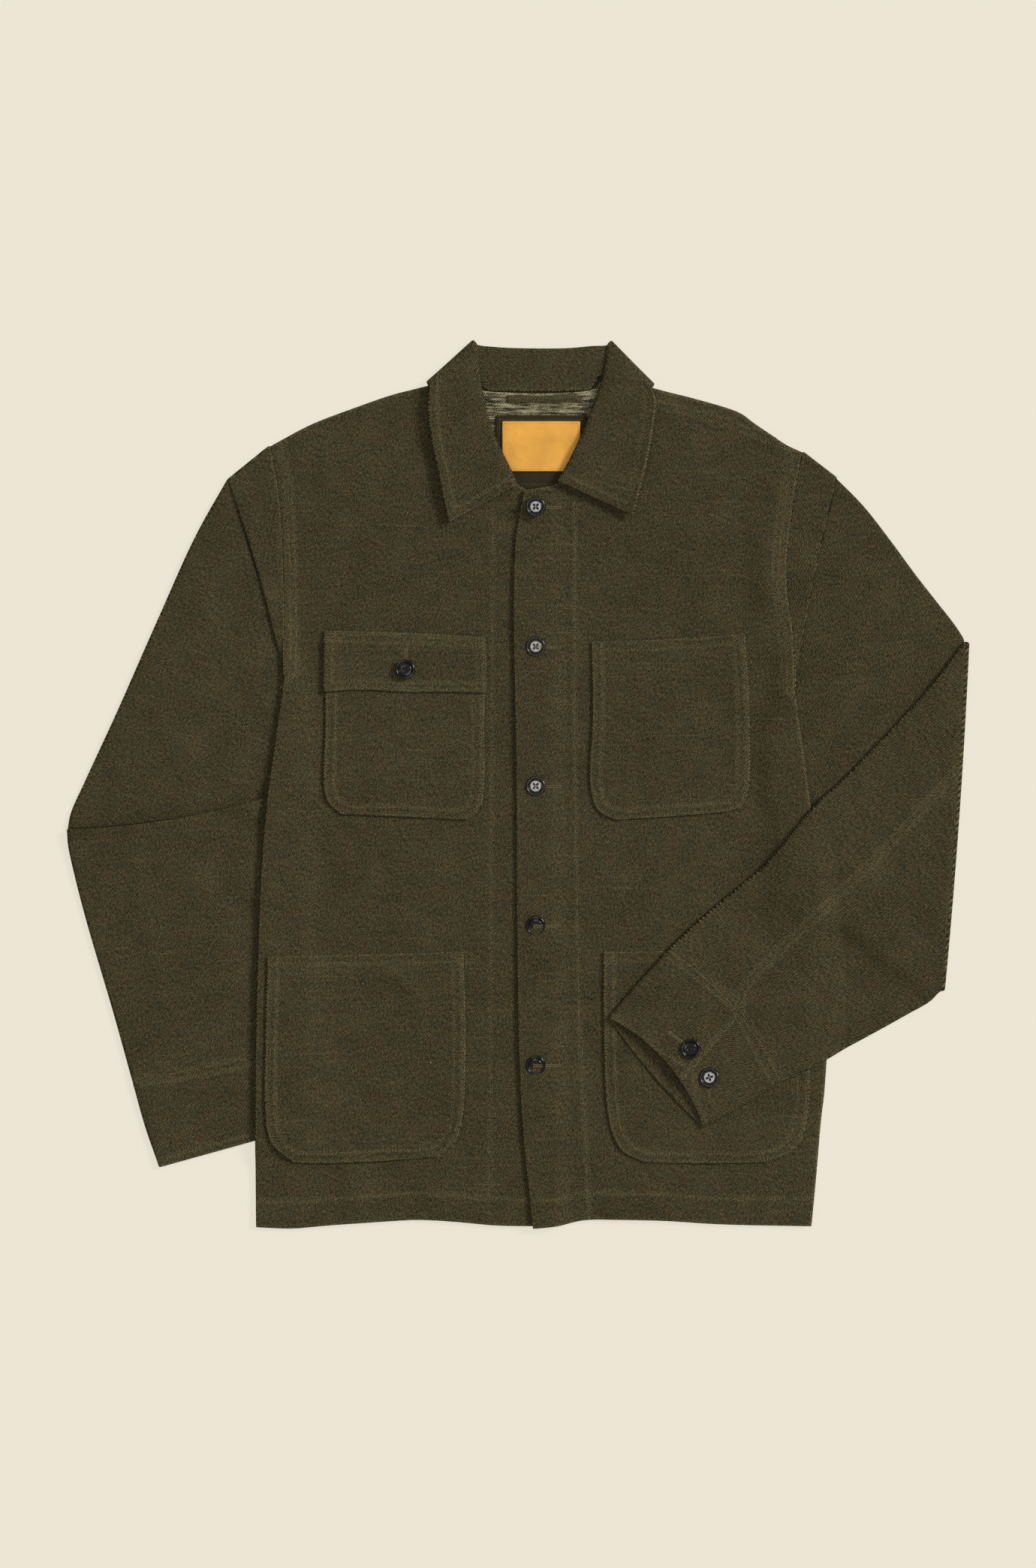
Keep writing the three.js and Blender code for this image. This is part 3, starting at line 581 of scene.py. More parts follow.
# %% Outlines of the body
HEM_BACK = [(-236, -400), (-180, -399), (-100, -392.5), (-40, -394.5), (10, -398), (40, -396.5),
    (75, -391.5), (120, -393), (190, -396.5), (264, -398.5)]
SIDE_RIGHT = [(-237, -401), (-237.4, -320), (-235, -161), (-229, -41), (-211, 99)]
ARMHOLE_RIGHT = [(-211, 99), (-212, 181), (-216, 260), (-224, 306)]
SIDE_LEFT = [(265.5, -400), (270.3, -350), (274, -306), (277.6, -274), (280.5, -195), (265, -26), (250, 86)]
ARMHOLE_LEFT = [(250, 86), (249, 130), (243, 192), (248, 247), (257, 300.5)]
SHOULDER_RIGHT = [(-224, 306), (-188, 325.3), (-147, 341), (-114, 352.4), (-90, 358.4), (-44, 368.5)]
SHOULDER_LEFT = [(78, 369), (130, 356.4), (162, 348.5), (201, 336), (214, 326.8), (230, 315.8),
    (244, 306.5), (257, 300.5)]
NECK_BACK = [(-44, 368.5), (-33, 357.8), (-10, 355), (46, 355), (70, 359), (78, 369)]
EDGE_LEFT = [(14, -402), (5, -314), (1, -229), (-1, -1), (-2, 218), (6, 266)]
HEM_LEFT = [(14, -402), (36, -399.5), (60, -394.5), (90, -394.2), (130, -395.1), (187, -398.4),
    (265.5, -400)]
NECK_LEFT = [(6, 266), (35, 272), (56, 288), (71, 310), (83, 338), (90, 367)]
EDGE_RIGHT = [(34, -400), (32, -229), (30, -1), (30, 218), (31, 256)]
HEM_RIGHT = [(-237, -401), (-205, -402), (-171, -399.2), (-125, -396), (-90, -394.3), (-55, -396.2),
    (-20, -399.3), (34, -400)]
NECK_RIGHT = [(31, 256), (5, 268), (-17, 284), (-34, 318), (-44, 345), (-50, 368)]

# %% Stations of the sleeves and cuffs
# Each row crosses the sleeve: near edge x, y, far edge x, y, sideways bow, lift at either edge.
SLEEVE_RIGHT = [
    (-212, 101, -225, 306, 0, 0, 0), (-211.5, 99.5, -241, 295.5, -4, 2.4, 1.4),
    (-211.5, 98, -262, 277, -3, 4.0, 2.2), (-210.3, 96, -263.5, 275.5, -3, 0, 0),
    (-210, 80, -291.3, 226, 0, 0, 0), (-207, 58, -328, 145, 0, 0, 0),
    (-205, 35, -364.2, 63, 0, 0, 0), (-204, 14, -391.5, 4, 3, 0, 0),
    (-203.5, 1, -405.2, -27, 6, -0.5, -0.3), (-203.2, -5, -408, -42, 8, -1, -0.9),
    (-203.2, -4, -408.3, -41, 8, 5.8, 4.2), (-203, -22, -407.3, -56, 6, 2.6, 1.6),
    (-202.6, -50, -401.2, -84, 3, 0.8, 0.5), (-202, -107, -390, -127, 0, 0, 0),
    (-201, -180, -367, -205, 0, 0, 0), (-200.2, -239.6, -349, -269.6, -2, 0, 0),
]
CUFF_RIGHT = [
    (-200.1, -240.4, -348.8, -270.4, -2, 0, 0), (-199.5, -275, -338, -309, -1, 0.2, 0.2),
    (-199, -311.5, -325, -346.5, 0, 0.4, 0.4),
]
UPPER_LEFT = [
    (250, 88, 258, 300.5, 0, 0, 0), (250.3, 86.5, 271, 293.4, 7, 2.4, 1.6),
    (250.3, 85, 288.5, 278, 3, 4.0, 2.4), (249.6, 84, 287.8, 277.3, 3, -0.6, -0.6),
    (243, 62, 312.5, 252.2, 0, 0, 0), (235, 38, 337, 221, 0, 0, 0),
    (237, 0, 359, 191, 0, 0, 0), (246, -42, 378.5, 166, 0, 0, 0),
    (268, -92, 393.5, 147, 0, 0, 0), (310, -130, 402, 134.5, 0, 0, 0),
]
FOLD_LEFT = (382, -186.5, 404.2, 128.5, -2, 0, 0)
FOREARM_LEFT = [
    (372.6, -196.6, 388, 106, 0, 0, 0), (353.6, -207.6, 366, 79, 0, 0, 0),
    (331.6, -219.9, 341, 52, 0, 0, 0), (311.6, -230.8, 318, 28, 0, 0, 0),
    (296.6, -238.9, 293, 3, 0, 0, 0), (283.6, -246.4, 271, -17, 0, 0, 0),
    (273, -252, 250, -42, -1, 0, 0), (264, -256.5, 228, -69, -2, 0, 0),
    (256, -260.6, 204, -90, -4, 0, 0), (249, -264, 180, -110, -7, 0, 0),
    (243, -266.5, 157, -130, -10, 0, 0), (237.6, -268.6, 136.4, -150, -12, 0, 0),
]
# Its last three values are the lower wall's own bow, how far the upper wall gapes, and where the
# buttonhole end lies, as a share of the way across.
CUFF_LEFT = [
    (237.3, -268.9, 136.1, -150.4, -12, -12, 0, 0.45), (203, -290.5, 108, -181, -12.5, -4, 0.8, 0.4),
    (168, -310, 82.8, -211, -13, 4, 2.4, 0.34),
]

# %% Sections of the collar
# Neck seam x, y, roll x, y, outer edge x, y, and side: 1 on the fronts, -1 behind the back.
COLLAR = [
    (-8, 268, -1.5, 271, -62, 238, 1), (-20, 281, -7, 284, -67, 262, 1),
    (-33, 307, -20, 311, -74, 296, 1), (-42, 334, -29, 337, -79.5, 327, 1),
    (-44, 360, -35.5, 371, -80.5, 352, 1), (-43, 369, -38.2, 398.2, -79.5, 360.5, 1),
    (-42, 371, -40.2, 400.8, -81.5, 363.2, 0.6), (-39, 371, -40.8, 401.6, -82, 364, 0),
    (-36, 368, -40.2, 400.8, -81.5, 363.2, -0.6), (-34, 365, -38.2, 398.2, -79.5, 360.5, -1),
    (-28, 358, -20, 395.5, -45, 330, -1), (0, 357, 4, 394.4, 0, 320, -1),
    (42, 357, 42, 394.4, 44, 320, -1), (64, 358.5, 67, 396.4, 89, 330, -1),
    (70, 365, 82, 397.8, 120.2, 358.8, -1), (71, 368, 84, 400.4, 122, 361.4, -0.6),
    (74, 371, 84.6, 401, 122.6, 362.2, 0), (78, 371, 84, 400.4, 122, 361.4, 0.6),
    (80, 369, 82, 397.8, 120.4, 358.8, 1), (86, 360, 78, 371, 123.4, 349, 1),
    (83, 336, 68, 341, 122, 328, 1), (72, 310, 57, 313, 116.5, 296, 1),
    (56, 285, 43, 285, 109, 264, 1), (44, 271, 36.5, 275, 104, 244, 1),
]

# %% Pockets, flap and neck pieces
# Each pocket is its left, right, bottom and top edge.
POCKETS = {
    "pocket_chest_right": (
        [(-160, -27), (-173, -14), (-174, 60), (-174, 130)],
        [(-46, -32), (-35, -22), (-31, 60), (-31, 126)],
        [(-160, -27), (-101, -29), (-46, -32)],
        [(-174, 130), (-101, 128), (-31, 126)]),
    "flap_chest_right": (
        [(-176, 84), (-175.5, 110), (-175, 139)],
        [(-29, 83), (-29, 108), (-30, 133)],
        [(-176, 84), (-143, 86), (-101, 84), (-60, 84), (-29, 83)],
        [(-175, 139), (-101, 137), (-30, 133)]),
    "pocket_chest_left": (
        [(89, -32), (73, -24), (66, -3), (68, 64), (67, 129)],
        [(190, -25), (203, -19), (208, -5), (209, 70), (205, 136)],
        [(89, -32), (135, -29), (190, -25)],
        [(67, 129), (135, 131), (205, 136)]),
    "pocket_hip_right": (
        [(-204, -342), (-223, -324), (-228, -299), (-228, -229), (-226, -156)],
        [(-72, -337), (-57, -322), (-51, -302), (-48, -229), (-50, -152)],
        [(-204, -342), (-186, -343), (-125, -341), (-72, -337)],
        [(-226, -156), (-155, -155), (-50, -152)]),
    "pocket_hip_left": (
        [(114, -342), (94, -331), (83, -305), (78, -207), (78, -152)],
        [(226, -342), (252, -329), (262, -299), (263, -225), (261, -150)],
        [(114, -342), (170, -343), (226, -342)],
        [(78, -152), (170, -151), (261, -150)]),
}
HANGER_LOOP = ((-10, 346.5), (58, 352))
LABEL_PATCH = ((-20, 268.5), (62, 334))
LABEL = ((-14, 284), (56, 328.5))
print("stations:", [len(rows) for rows in (SLEEVE_RIGHT, UPPER_LEFT, FOREARM_LEFT, COLLAR)])

# %% [markdown]
# ## What is sewn where
# The pockets are sewn down by two rows, one near the edge and one where the folded allowance ends.
# Hems and front bands are folded under and held by one row. Armholes, the shoulder and the sleeve's
# long seam are felled, which leaves two rows side by side with a flat ridge between them.

# %% Rows of each piece
NEAR_EDGE, HEM = 1.8, 24.0
POCKET_ALLOWANCE, MOUTH_HEM, FLAP_ALLOWANCE, COLLAR_ALLOWANCE = 9.2, 7.8, 8, 7.5
ARMHOLE_ROWS_IN = 6, 11
FELL_HALF = 3
SEWN = {}               # piece: its rows of stitches
DOUBLED = {}            # piece: (row, side on which the cloth is doubled, how much it rises)
RIDGES = {}             # piece: (middle line, half width, how much it rises)
FINE_RUN = 90


def sew(piece, run, side=0, rise=0.5, straight=False):
    run = even(run, FINE_RUN) if straight else smooth(run, FINE_RUN)
    SEWN.setdefault(piece, []).append(run)
    if side:
        DOUBLED.setdefault(piece, []).append((run, side, rise))


def ridge(piece, line, half, rise, count=FINE_RUN):
    RIDGES.setdefault(piece, []).append((smooth(line, count), half, rise))


def fell(piece, line):
    """A felled seam: two rows with a flat ridge between them."""
    sew(piece, inset(line, FELL_HALF))
    sew(piece, inset(line, -FELL_HALF))
    ridge(piece, line, 3.6, 0.6)


for name, (left, right, bottom, top) in POCKETS.items():
    if name.startswith("pocket"):
        cup = left[::-1] + bottom[1:] + right[1:]
        sew(name, inset(cup, NEAR_EDGE))
        sew(name, inset(cup, POCKET_ALLOWANCE), side=-1)
        sew(name, inset(top, -MOUTH_HEM), side=1)
FLAP = [(-175, 139), (-175.5, 110), (-176, 84.5), (-143, 86), (-101, 84), (-60, 84), (-29, 83),
        (-29, 108), (-30, 133)]
for edge, way in ((FLAP, 1), (FLAP[:1] + FLAP[-1:], -1)):     # round its free edges, then along its top
    sew("flap_chest_right", inset(edge, way * FLAP_ALLOWANCE), side=-way, rise=0.35, straight=True)
    sew("flap_chest_right", inset(edge, way * NEAR_EDGE), straight=True)

sew("front_left", [(67, -397), (65, -387), (63, -351), (60, -292), (57, -243), (54, -107), (52, 29), (52, 232)],
    side=1)
sew("front_left", inset(HEM_LEFT, HEM), side=-1)
sew("front_right", [(-26, -398), (-25, -305), (-22, 240), (-22, 272)], side=-1)
sew("front_right", inset(HEM_RIGHT, HEM), side=-1)
for inward in ARMHOLE_ROWS_IN:      # each runs out across the side seam at its foot
    folded = inward == max(ARMHOLE_ROWS_IN)
    left_row, right_row = inset(smooth(ARMHOLE_LEFT, 40), inward), inset(smooth(ARMHOLE_RIGHT, 40), -inward)
    sew("front_left", [(262, 70), *left_row], side=-1 if folded else 0, straight=True)
    sew("front_right", [(-222, 82), *right_row], side=1 if folded else 0, straight=True)
SHOULDER_SEAM = [(258, 301.5), (195, 325.5), (129, 345), (92, 350), (71, 354)]
fell("front_left", SHOULDER_SEAM)

sew("back", inset(NECK_BACK[1:-1], -2.5))
sew("back", [(24.5, 331), (25, 338), (24.5, 349)])
ridge("back", [(27, 300), (27, 356)], 3, 0.4, count=8)
WING_RIGHT = [(-79.5, 362), (-80.5, 352), (-79.5, 327), (-74, 296), (-67, 262), (-62, 238), (-1.5, 271)]
WING_LEFT = [(36.5, 275), (104, 244), (109, 264), (116.5, 296), (122, 328), (123.4, 349), (121.5, 361)]
# Each row turns down over the chest at the front, clear of the other wing.
sew("collar", [*inset(WING_RIGHT, COLLAR_ALLOWANCE), (16, 150)], side=-1, rise=0.4, straight=True)
sew("collar", [(16, 150), *inset(WING_LEFT, COLLAR_ALLOWANCE)], side=-1, rise=0.4, straight=True)

LONG_SEAM = [(404, 20), (332, -59), (256, -132), (207, -181), (200, -203)]
CUFF_SEAM = [(135.2, -150.6), (195.6, -199.8), (203.7, -213.2), (219.8, -245.5), (227.9, -258.9), (236.5, -269.5)]
fell("sleeve_left", LONG_SEAM)
sew("sleeve_left", inset(CUFF_SEAM, 3.2))
ridge("sleeve_left", CUFF_SEAM, 4.5, 0.7)
sew("cuff_left", inset(CUFF_SEAM, -3.6))
ridge("cuff_left", CUFF_SEAM, 4.5, 0.5)
MOUTH_TOP = [(82, -211), (101.6, -228), (121.8, -241.4), (132.5, -248.2), (155.4, -262.3)]
MOUTH_UNDER = [(154, -263), (158, -284.5), (163, -298), (167.5, -310)]
sew("cuff_left", inset(MOUTH_TOP, 4.5), side=-1, rise=0.35)
sew("cuff_left", inset(MOUTH_UNDER, 4.5))
sew("cuff_left", inset([(201, -207), (174, -239), (150, -266)], -2.6))
RIGHT_CUFF_SEAM = [(-200.2, -240), (-275, -257.5), (-349, -270)]
RIGHT_MOUTH = [(-199, -311.5), (-262, -329), (-325, -346.5)]
sew("sleeve_right", inset(RIGHT_CUFF_SEAM, -3.2))
sew("cuff_right", inset(RIGHT_CUFF_SEAM, 3.6))
sew("cuff_right", inset(RIGHT_MOUTH, -6), side=1, rise=0.4)
for piece in ("sleeve_right", "cuff_right"):
    ridge(piece, RIGHT_CUFF_SEAM, 4.5, 0.7)
print("rows of stitches:", sum(len(runs) for runs in SEWN.values()))


# %% How the rows shape the cloth
GROOVE, GROOVE_WIDTH = 0.25, 1.4
FOLDED_SLOPE = 2.4      # how wide the step is where an allowance ends


def sewn_relief(name, xy):
    """How much the rows raise or sink a piece, and its distances from them."""
    nearby = [signed(xy, run) for run in SEWN.get(name, [])]
    rise = sum(-GROOVE * np.exp(-(d / GROOVE_WIDTH)**2) for d in nearby) + 0 * xy[..., 0]
    for run, side, height in DOUBLED.get(name, []):
        rise = rise + height * soft_step(side * signed(xy, run) / FOLDED_SLOPE + 0.5)
    for run, half, height in RIDGES.get(name, []):
        rise = rise + height * soft_step(2 - np.abs(signed(xy, run)) / half)
    return rise, nearby


# %% [markdown]
# ## Sleeves
# A sleeve is a tube pressed flat: an upper wall, a lower wall and a tight round edge on either side.
# Each row of its table is one line across it. The rings between the rows follow smooth curves, and
# where the cloth is tucked the rings crowd into a short steep step, which is the rolled edge of the
# tuck.

# %% Rings of a flat tube
TUBE_HALF = 1.35
FOLD_RADIUS = 2.9
WALL = 84               # columns across one wall
CORNER = 3              # columns round one edge
RING_PITCH, RIGHT_CUFF_PITCH = 4.0, 2.5
HALF_RING = WALL + 1 + CORNER
TURN = np.linspace(0, math.pi, CORNER + 2)[1:-1]    # round one edge
INWARD = 1 - np.sin(TURN)                           # how far from the tip, in edge radii
CROWN = 1.2             # how much a wall domes in its middle
LIFT_REACH = 0.2        # share of the width in which the lift of a row fades in


def stations(rows, pitch=RING_PITCH):
    """Close, even rows that run smoothly through the given ones."""
    return smooth(rows, steps(np.asarray(rows, float)[:, :4], pitch))


def bowed(near, far, bow, share):
    """Plan points a share of the way from near to far, on a line that bows sideways."""
    way = far - near
    side = np.stack([-way[..., 1], way[..., 0]], axis=-1) / np.linalg.norm(way, axis=-1, keepdims=True)
    return near + way * share + side * bow * 4 * share * (1 - share)


def across(rows, flip=1):
    """Plan points of each ring, the wall (1 above, -1 below) and the rise."""
    rows = np.asarray(rows, float)
    near, far, bow = rows[:, None, 0:2], rows[:, None, 2:4], rows[:, None, 4:5]
    c = TUBE_HALF / np.linalg.norm(far - near, axis=2, keepdims=True)
    edge = c * INWARD[None, :, None]
    straight = c + (1 - 2 * c) * np.linspace(0, 1, WALL + 1)[None, :, None]
    s = np.concatenate([straight, 1 - edge, straight[:, ::-1], edge], axis=1)
    over = np.ones(WALL + 1)
    wall = flip * np.concatenate([over, np.cos(TURN), -over, -np.cos(TURN)])[None]
    lift = np.clip(s / LIFT_REACH, 0, 1) * (rows[:, None, 5:6] * (1 - s) + rows[:, None, 6:7] * s)
    return bowed(near, far, bow, s), wall, (lift + CROWN * np.sin(math.pi * s))[..., 0] * (1 + wall) / 2


def tube(rows, floor, name=None, flip=1):
    """Rings of a flat tube on a floor, which is a function of x and y."""
    plan, wall, rise = across(rows, flip)
    x, y = plan[..., 0], plan[..., 1]
    if name:
        rise = rise + (sleeve_folds(x, y) + sewn_relief(name, plan)[0]) * (1 + wall) / 2
    return np.dstack([x, y, floor(x, y) + CLOTH / 2 + TUBE_HALF * (1 + wall) + rise])


def open_out(rings, flip=1):
    """Plan points of the rings with one wall turned out beside the other, as the sleeve was cut."""
    plan = rings[..., :2]
    first, second = plan[:, :WALL + 1], plan[:, HALF_RING:HALF_RING + WALL + 1]
    far = first[:, -1:]
    if flip > 0:
        second = 2 * far - second
    else:
        first = 2 * far - first
    turn = np.linspace(0, 1, CORNER + 2)[None, 1:-1, None]
    at_far = first[:, -1:] * (1 - turn) + second[:, :1] * turn
    past = second[:, -1:] + (second[:, -1:] - second[:, -2:-1]) * np.append(turn, 1)[None, :, None]
    return np.concatenate([first, at_far, second, past], axis=1)


def step(before, after, rings=6):
    """Rings down or up a rolled edge, between two rings in space."""
    t = np.linspace(0, 1, rings)[1:-1, None]
    ease = (1 - np.cos(math.pi * t)) / 2
    plan = before[None, :, :2] * (1 - t[..., None]) + after[None, :, :2] * t[..., None]
    return np.dstack([plan, before[None, :, 2] * (1 - ease) + after[None, :, 2] * ease])


def on_table(x, y):
    return 0 * x


# %% [markdown]
# Cloth on a table is never quite flat. Each fold below is a soft ridge or trough, and they are uneven
# in length, width and depth. A few slow waves run under them all.

# %% Soft folds
# x, y, direction in degrees, length, width and rise, which is below 0 in a trough.
FRONT_FOLDS = [
    (206, 200, 95, 150, 26, -1.1), (165, 262, 20, 120, 28, 0.8), (-120, 250, 70, 150, 30, 0.9),
    (140, 40, 80, 160, 40, 0.7), (-100, -90, 95, 170, 44, 0.8), (-150, -380, 90, 60, 40, 0.9),
    (110, -380, 90, 60, 46, 0.9), (190, -90, 60, 120, 30, -0.8), (225, 180, 100, 190, 22, 1.0),
    (-190, 190, 88, 160, 24, -0.7), (-70, 200, 62, 130, 24, -0.5), (215, -60, 75, 120, 20, 0.8),
    (-205, 20, 82, 190, 20, 0.7), (100, 232, 130, 90, 22, -0.5),
    (229, 215, 84, 150, 26, 2.4), (160, 285, 36, 110, 34, -1.6), (150, 306, 30, 110, 30, 1.8),
    (-150, 268, 150, 120, 34, 1.5), (-110, 255, 10, 90, 30, -1.2),
]
SLEEVE_FOLDS = [
    (-300, 190, 118, 170, 26, 1.1), (-262, 150, 105, 150, 20, -0.8), (-330, 70, 112, 150, 26, 0.9),
    (-250, 40, 150, 110, 18, 0.9), (-300, -75, 165, 120, 16, 1.0), (-260, -100, 140, 110, 18, -0.8),
    (-340, -120, 100, 150, 22, 0.9), (-285, -190, 95, 110, 26, 0.8), (-232, -20, 172, 70, 12, 0.9),
    (300, 200, 62, 150, 24, 0.9), (325, 110, 70, 150, 22, -0.8), (270, 60, 60, 150, 20, 0.8),
    (290, -120, 42, 160, 22, 0.9), (350, -60, 55, 150, 22, -0.7), (330, -160, 30, 120, 18, 0.8),
    (240, -190, 40, 90, 16, 0.7), (365, 20, 80, 120, 20, 0.9), (200, -150, 45, 90, 14, -0.6),
    (-316, -18, 10, 190, 20, 1.9),
]
POCKET_FOLDS = [
    (-112, -174, -38, 50, 12, 2.0), (-140, -170, 15, 70, 14, -1.2), (-90, -250, 80, 120, 30, 0.5),
    (150, -250, 95, 130, 34, 0.5), (130, 60, 85, 110, 30, 0.4), (-100, 20, 95, 80, 30, 0.4),
]
BACK_FOLDS = [(-247, -130, 88, 250, 30, 2.8)]   # the side seam curls up where it lies over the sleeve
FRONT_LOFT, SLEEVE_LOFT, POCKET_LOFT = 1.1, 0.3, 0.15
SLEEVE_SHARE, POCKET_RIPPLE = 0.9, 0.25         # of the folds above and of the waves below
WAVES = ((0.031, 0.017, 0.3), (-0.023, 0.041, 1.7), (0.058, -0.019, 2.9), (0.012, 0.067, 4.1), (0.083, 0.046, 5.2))
WAVE_HEIGHT = 0.16


def folds(table, x, y):
    rise = 0 * x
    for fx, fy, angle, length, width, height in table:
        turn = math.radians(angle)
        dx, dy = x - fx, y - fy
        lengthwise = (dx * math.cos(turn) + dy * math.sin(turn)) / (length / 2)
        crosswise = (dy * math.cos(turn) - dx * math.sin(turn)) / (width / 2)
        rise = rise + height * np.exp(-lengthwise**2 - crosswise**2)
    return rise


def ripple(x, y):
    """Slow, uneven waves a few tenths of a millimetre high."""
    return sum(WAVE_HEIGHT * np.sin(a * x + b * y + c) for a, b, c in WAVES)


def sleeve_folds(x, y):
    return SLEEVE_SHARE * folds(SLEEVE_FOLDS, x, y) + ripple(x, y) + SLEEVE_LOFT


def front_loft(x, y):
    return np.maximum(FRONT_LOFT + folds(FRONT_FOLDS, x, y) + ripple(x, y), 0)


def back_loft(x, y):
    return folds(BACK_FOLDS, x, y)


def pocket_loft(x, y):
    return np.maximum(folds(POCKET_FOLDS, x, y) + POCKET_RIPPLE * ripple(x, y) + POCKET_LOFT, 0)


# %% What lies lowest: the sleeves
right_upper = tube(stations(SLEEVE_RIGHT[3:10]), on_table, "sleeve_right")
right_forearm = tube(stations(SLEEVE_RIGHT[10:]), on_table, "sleeve_right")
right_cuff = tube(stations(CUFF_RIGHT, RIGHT_CUFF_PITCH), on_table, "cuff_right")
left_upper = tube(stations(UPPER_LEFT[3:] + [FOLD_LEFT]), on_table, "upper")
pile.lay(left_upper, CLOTH)
pile.lay(right_upper, CLOTH)
settle("sleeve_right", right_forearm, CLOTH)
settle("cuff_right", right_cuff, CLOTH)
print("rings:", len(right_upper), len(right_forearm), len(left_upper))

# %% [markdown]
# ## The collar's section
# The collar is one band, two plies thick. It stands up from the neck seam, rolls over and falls. On
# the fronts the fall lies on the chest, and behind the neck the whole band lies under the back, so
# the height of each row changes from one to the other as it goes round the side of the neck. The
# wings don't lie flat: they bridge from the roll and stay a few millimetres clear of the chest.

# %% Collar grid
ROLL_SHORT = 3
FALL_BACK = COLLAR_PLY / 2
STAND_BACK = 4.6
FALL_OVER_STAND = 3.6
COLLAR_PITCH = 1.8
SIDE_SCALE = 8          # turning from front to back counts as this many millimetres
STAND_STEPS, ROLL_STEPS, FALL_STEPS = 10, 9, 44
ROLL_TOP = STAND_STEPS + ROLL_STEPS // 2
# How high the fall stands over the chest, from the roll to its outer edge.
FALL_SHAPE = ([0, 0.36, 0.55, 0.7, 0.85, 1], [1, 1, 0.95, 1.0, 1.25, 1.6])

scaled = np.array(COLLAR, float)
scaled[:, 6] *= SIDE_SCALE
collar_rows = smooth(scaled, steps(scaled[:, 2:], COLLAR_PITCH))
collar_side = np.clip(collar_rows[:, 6] / SIDE_SCALE, -1, 1)[:, None]
seam_at, roll_at, outer_at = (collar_rows[:, None, k:k + 2] for k in (0, 2, 4))
to_seam, to_outer = seam_at - roll_at, outer_at - roll_at
stand_long, fall_long = (np.linalg.norm(v, axis=2, keepdims=True) for v in (to_seam, to_outer))
bend = np.radians(np.linspace(-90, 90, ROLL_STEPS))[None, :, None]
reach_in = ROLL_SHORT * (1 - np.cos(bend))
rolled = roll_at + np.where(bend < 0, to_seam / stand_long, to_outer / fall_long) * reach_in
t = np.linspace(0, 1, STAND_STEPS + 1)[None, :-1, None]
stand = seam_at - to_seam * t * (1 - ROLL_SHORT / stand_long)
t = np.linspace(0, 1, FALL_STEPS + 1)[None, 1:, None]
fall_share = ROLL_SHORT / fall_long + (1 - ROLL_SHORT / fall_long) * t
collar_plan = np.concatenate([stand, rolled, roll_at + to_outer * fall_share], axis=1)
over = np.concatenate([np.zeros((len(collar_rows), STAND_STEPS)),
                       np.repeat((1 + np.sin(bend[..., 0])) / 2, len(collar_rows), 0),
                       np.interp(fall_share[..., 0], *FALL_SHAPE)], axis=1)
on_fall = np.arange(collar_plan.shape[1]) >= ROLL_TOP
behind = np.where(on_fall, FALL_BACK, STAND_BACK + (FALL_BACK - STAND_BACK) * np.clip(over * 2, 0, 1))
hidden = collar_side[:, 0] < -0.5
pile.lay(np.dstack([collar_plan, behind])[hidden][:, ROLL_TOP:], COLLAR_PLY)
print("collar grid:", collar_plan.shape[:2])

# %% [markdown]
# ## Body
# The back is laid first and then the two fronts, the left one over the right. Each is a Coons patch
# with a row every few millimetres. The fronts stand a little clear of the back.

# %% Laying a panel
SIDE_ROWS, ARMHOLE_ROWS = 180, 74
HEM_COLUMNS, NECK_COLUMNS = 100, 44


def lay_panel(name, plan, ply, finish, soft=6, loft=None, degrees=0, below=None):
    """Lays a plan grid on the pile, makes its mesh and keeps the map of its top."""
    x, y = plan[..., 0], plan[..., 1]
    rise, nearby = sewn_relief(name, plan)
    z = pile.rest(x, y, soft) + ply / 2 + rise + (GROOVE if nearby else 0) + (loft(x, y) if loft else 0)
    grid = np.dstack([x, y, z])
    settle(name, grid, ply)
    cloth_mesh(name, grid, ply, grain_uv(plan, degrees), finish, nearby, below=below)
    return grid


def sides(side, armhole):
    return chain((side, SIDE_ROWS), (armhole, ARMHOLE_ROWS))


BACK_TOP = (SHOULDER_RIGHT, 40), (NECK_BACK, 44), (SHOULDER_LEFT, 44)
back_grid = lay_panel("back", patch(
    smooth(HEM_BACK, sum(columns for _, columns in BACK_TOP)), chain(*BACK_TOP),
    sides(SIDE_RIGHT, ARMHOLE_RIGHT), sides(SIDE_LEFT, ARMHOLE_LEFT)), CLOTH, TWILL, loft=back_loft, below=REVERSE)

# %% [markdown]
# The neck shows what is sewn to the inside of the back: a narrow hanging tape, and a bare woven label
# on a darker patch.

# %% Neck pieces
def plain(name, colour, rough=0.85, streak=0.5):
    p = Paint(name)
    grain = p.grain()
    threads = p.noise(p.stretched(grain, 300, 2600), 1)
    tone = threads * streak + p.noise(grain, 30) * 0.6 + 0.5
    return p.surface(p.shades(tone, colour, 0.75, 1.2), rough, threads * 0.2 + p.noise(grain, 45) * 1.2,
                     **{"Specular IOR Level": 0.15})


DARK_PATCH = plain("dark_patch", srgb(50, 44, 26))
LABEL_YELLOW = plain("label_yellow", srgb(240, 176, 78), 0.55, streak=0.25)


def rectangle(corners, columns, rows):
    (x0, y0), (x1, y1) = corners
    return patch(even([(x0, y0), (x1, y0)], columns), even([(x0, y1), (x1, y1)], columns),
                 even([(x0, y0), (x0, y1)], rows), even([(x1, y0), (x1, y1)], rows))


def border(corners, inward):
    (x0, y0), (x1, y1) = corners
    x0, y0, x1, y1 = x0 + inward, y0 + inward, x1 - inward, y1 - inward
    return [(x0, y1), (x0, y0), (x1, y0), (x1, y1), (x0 + 1, y1)]


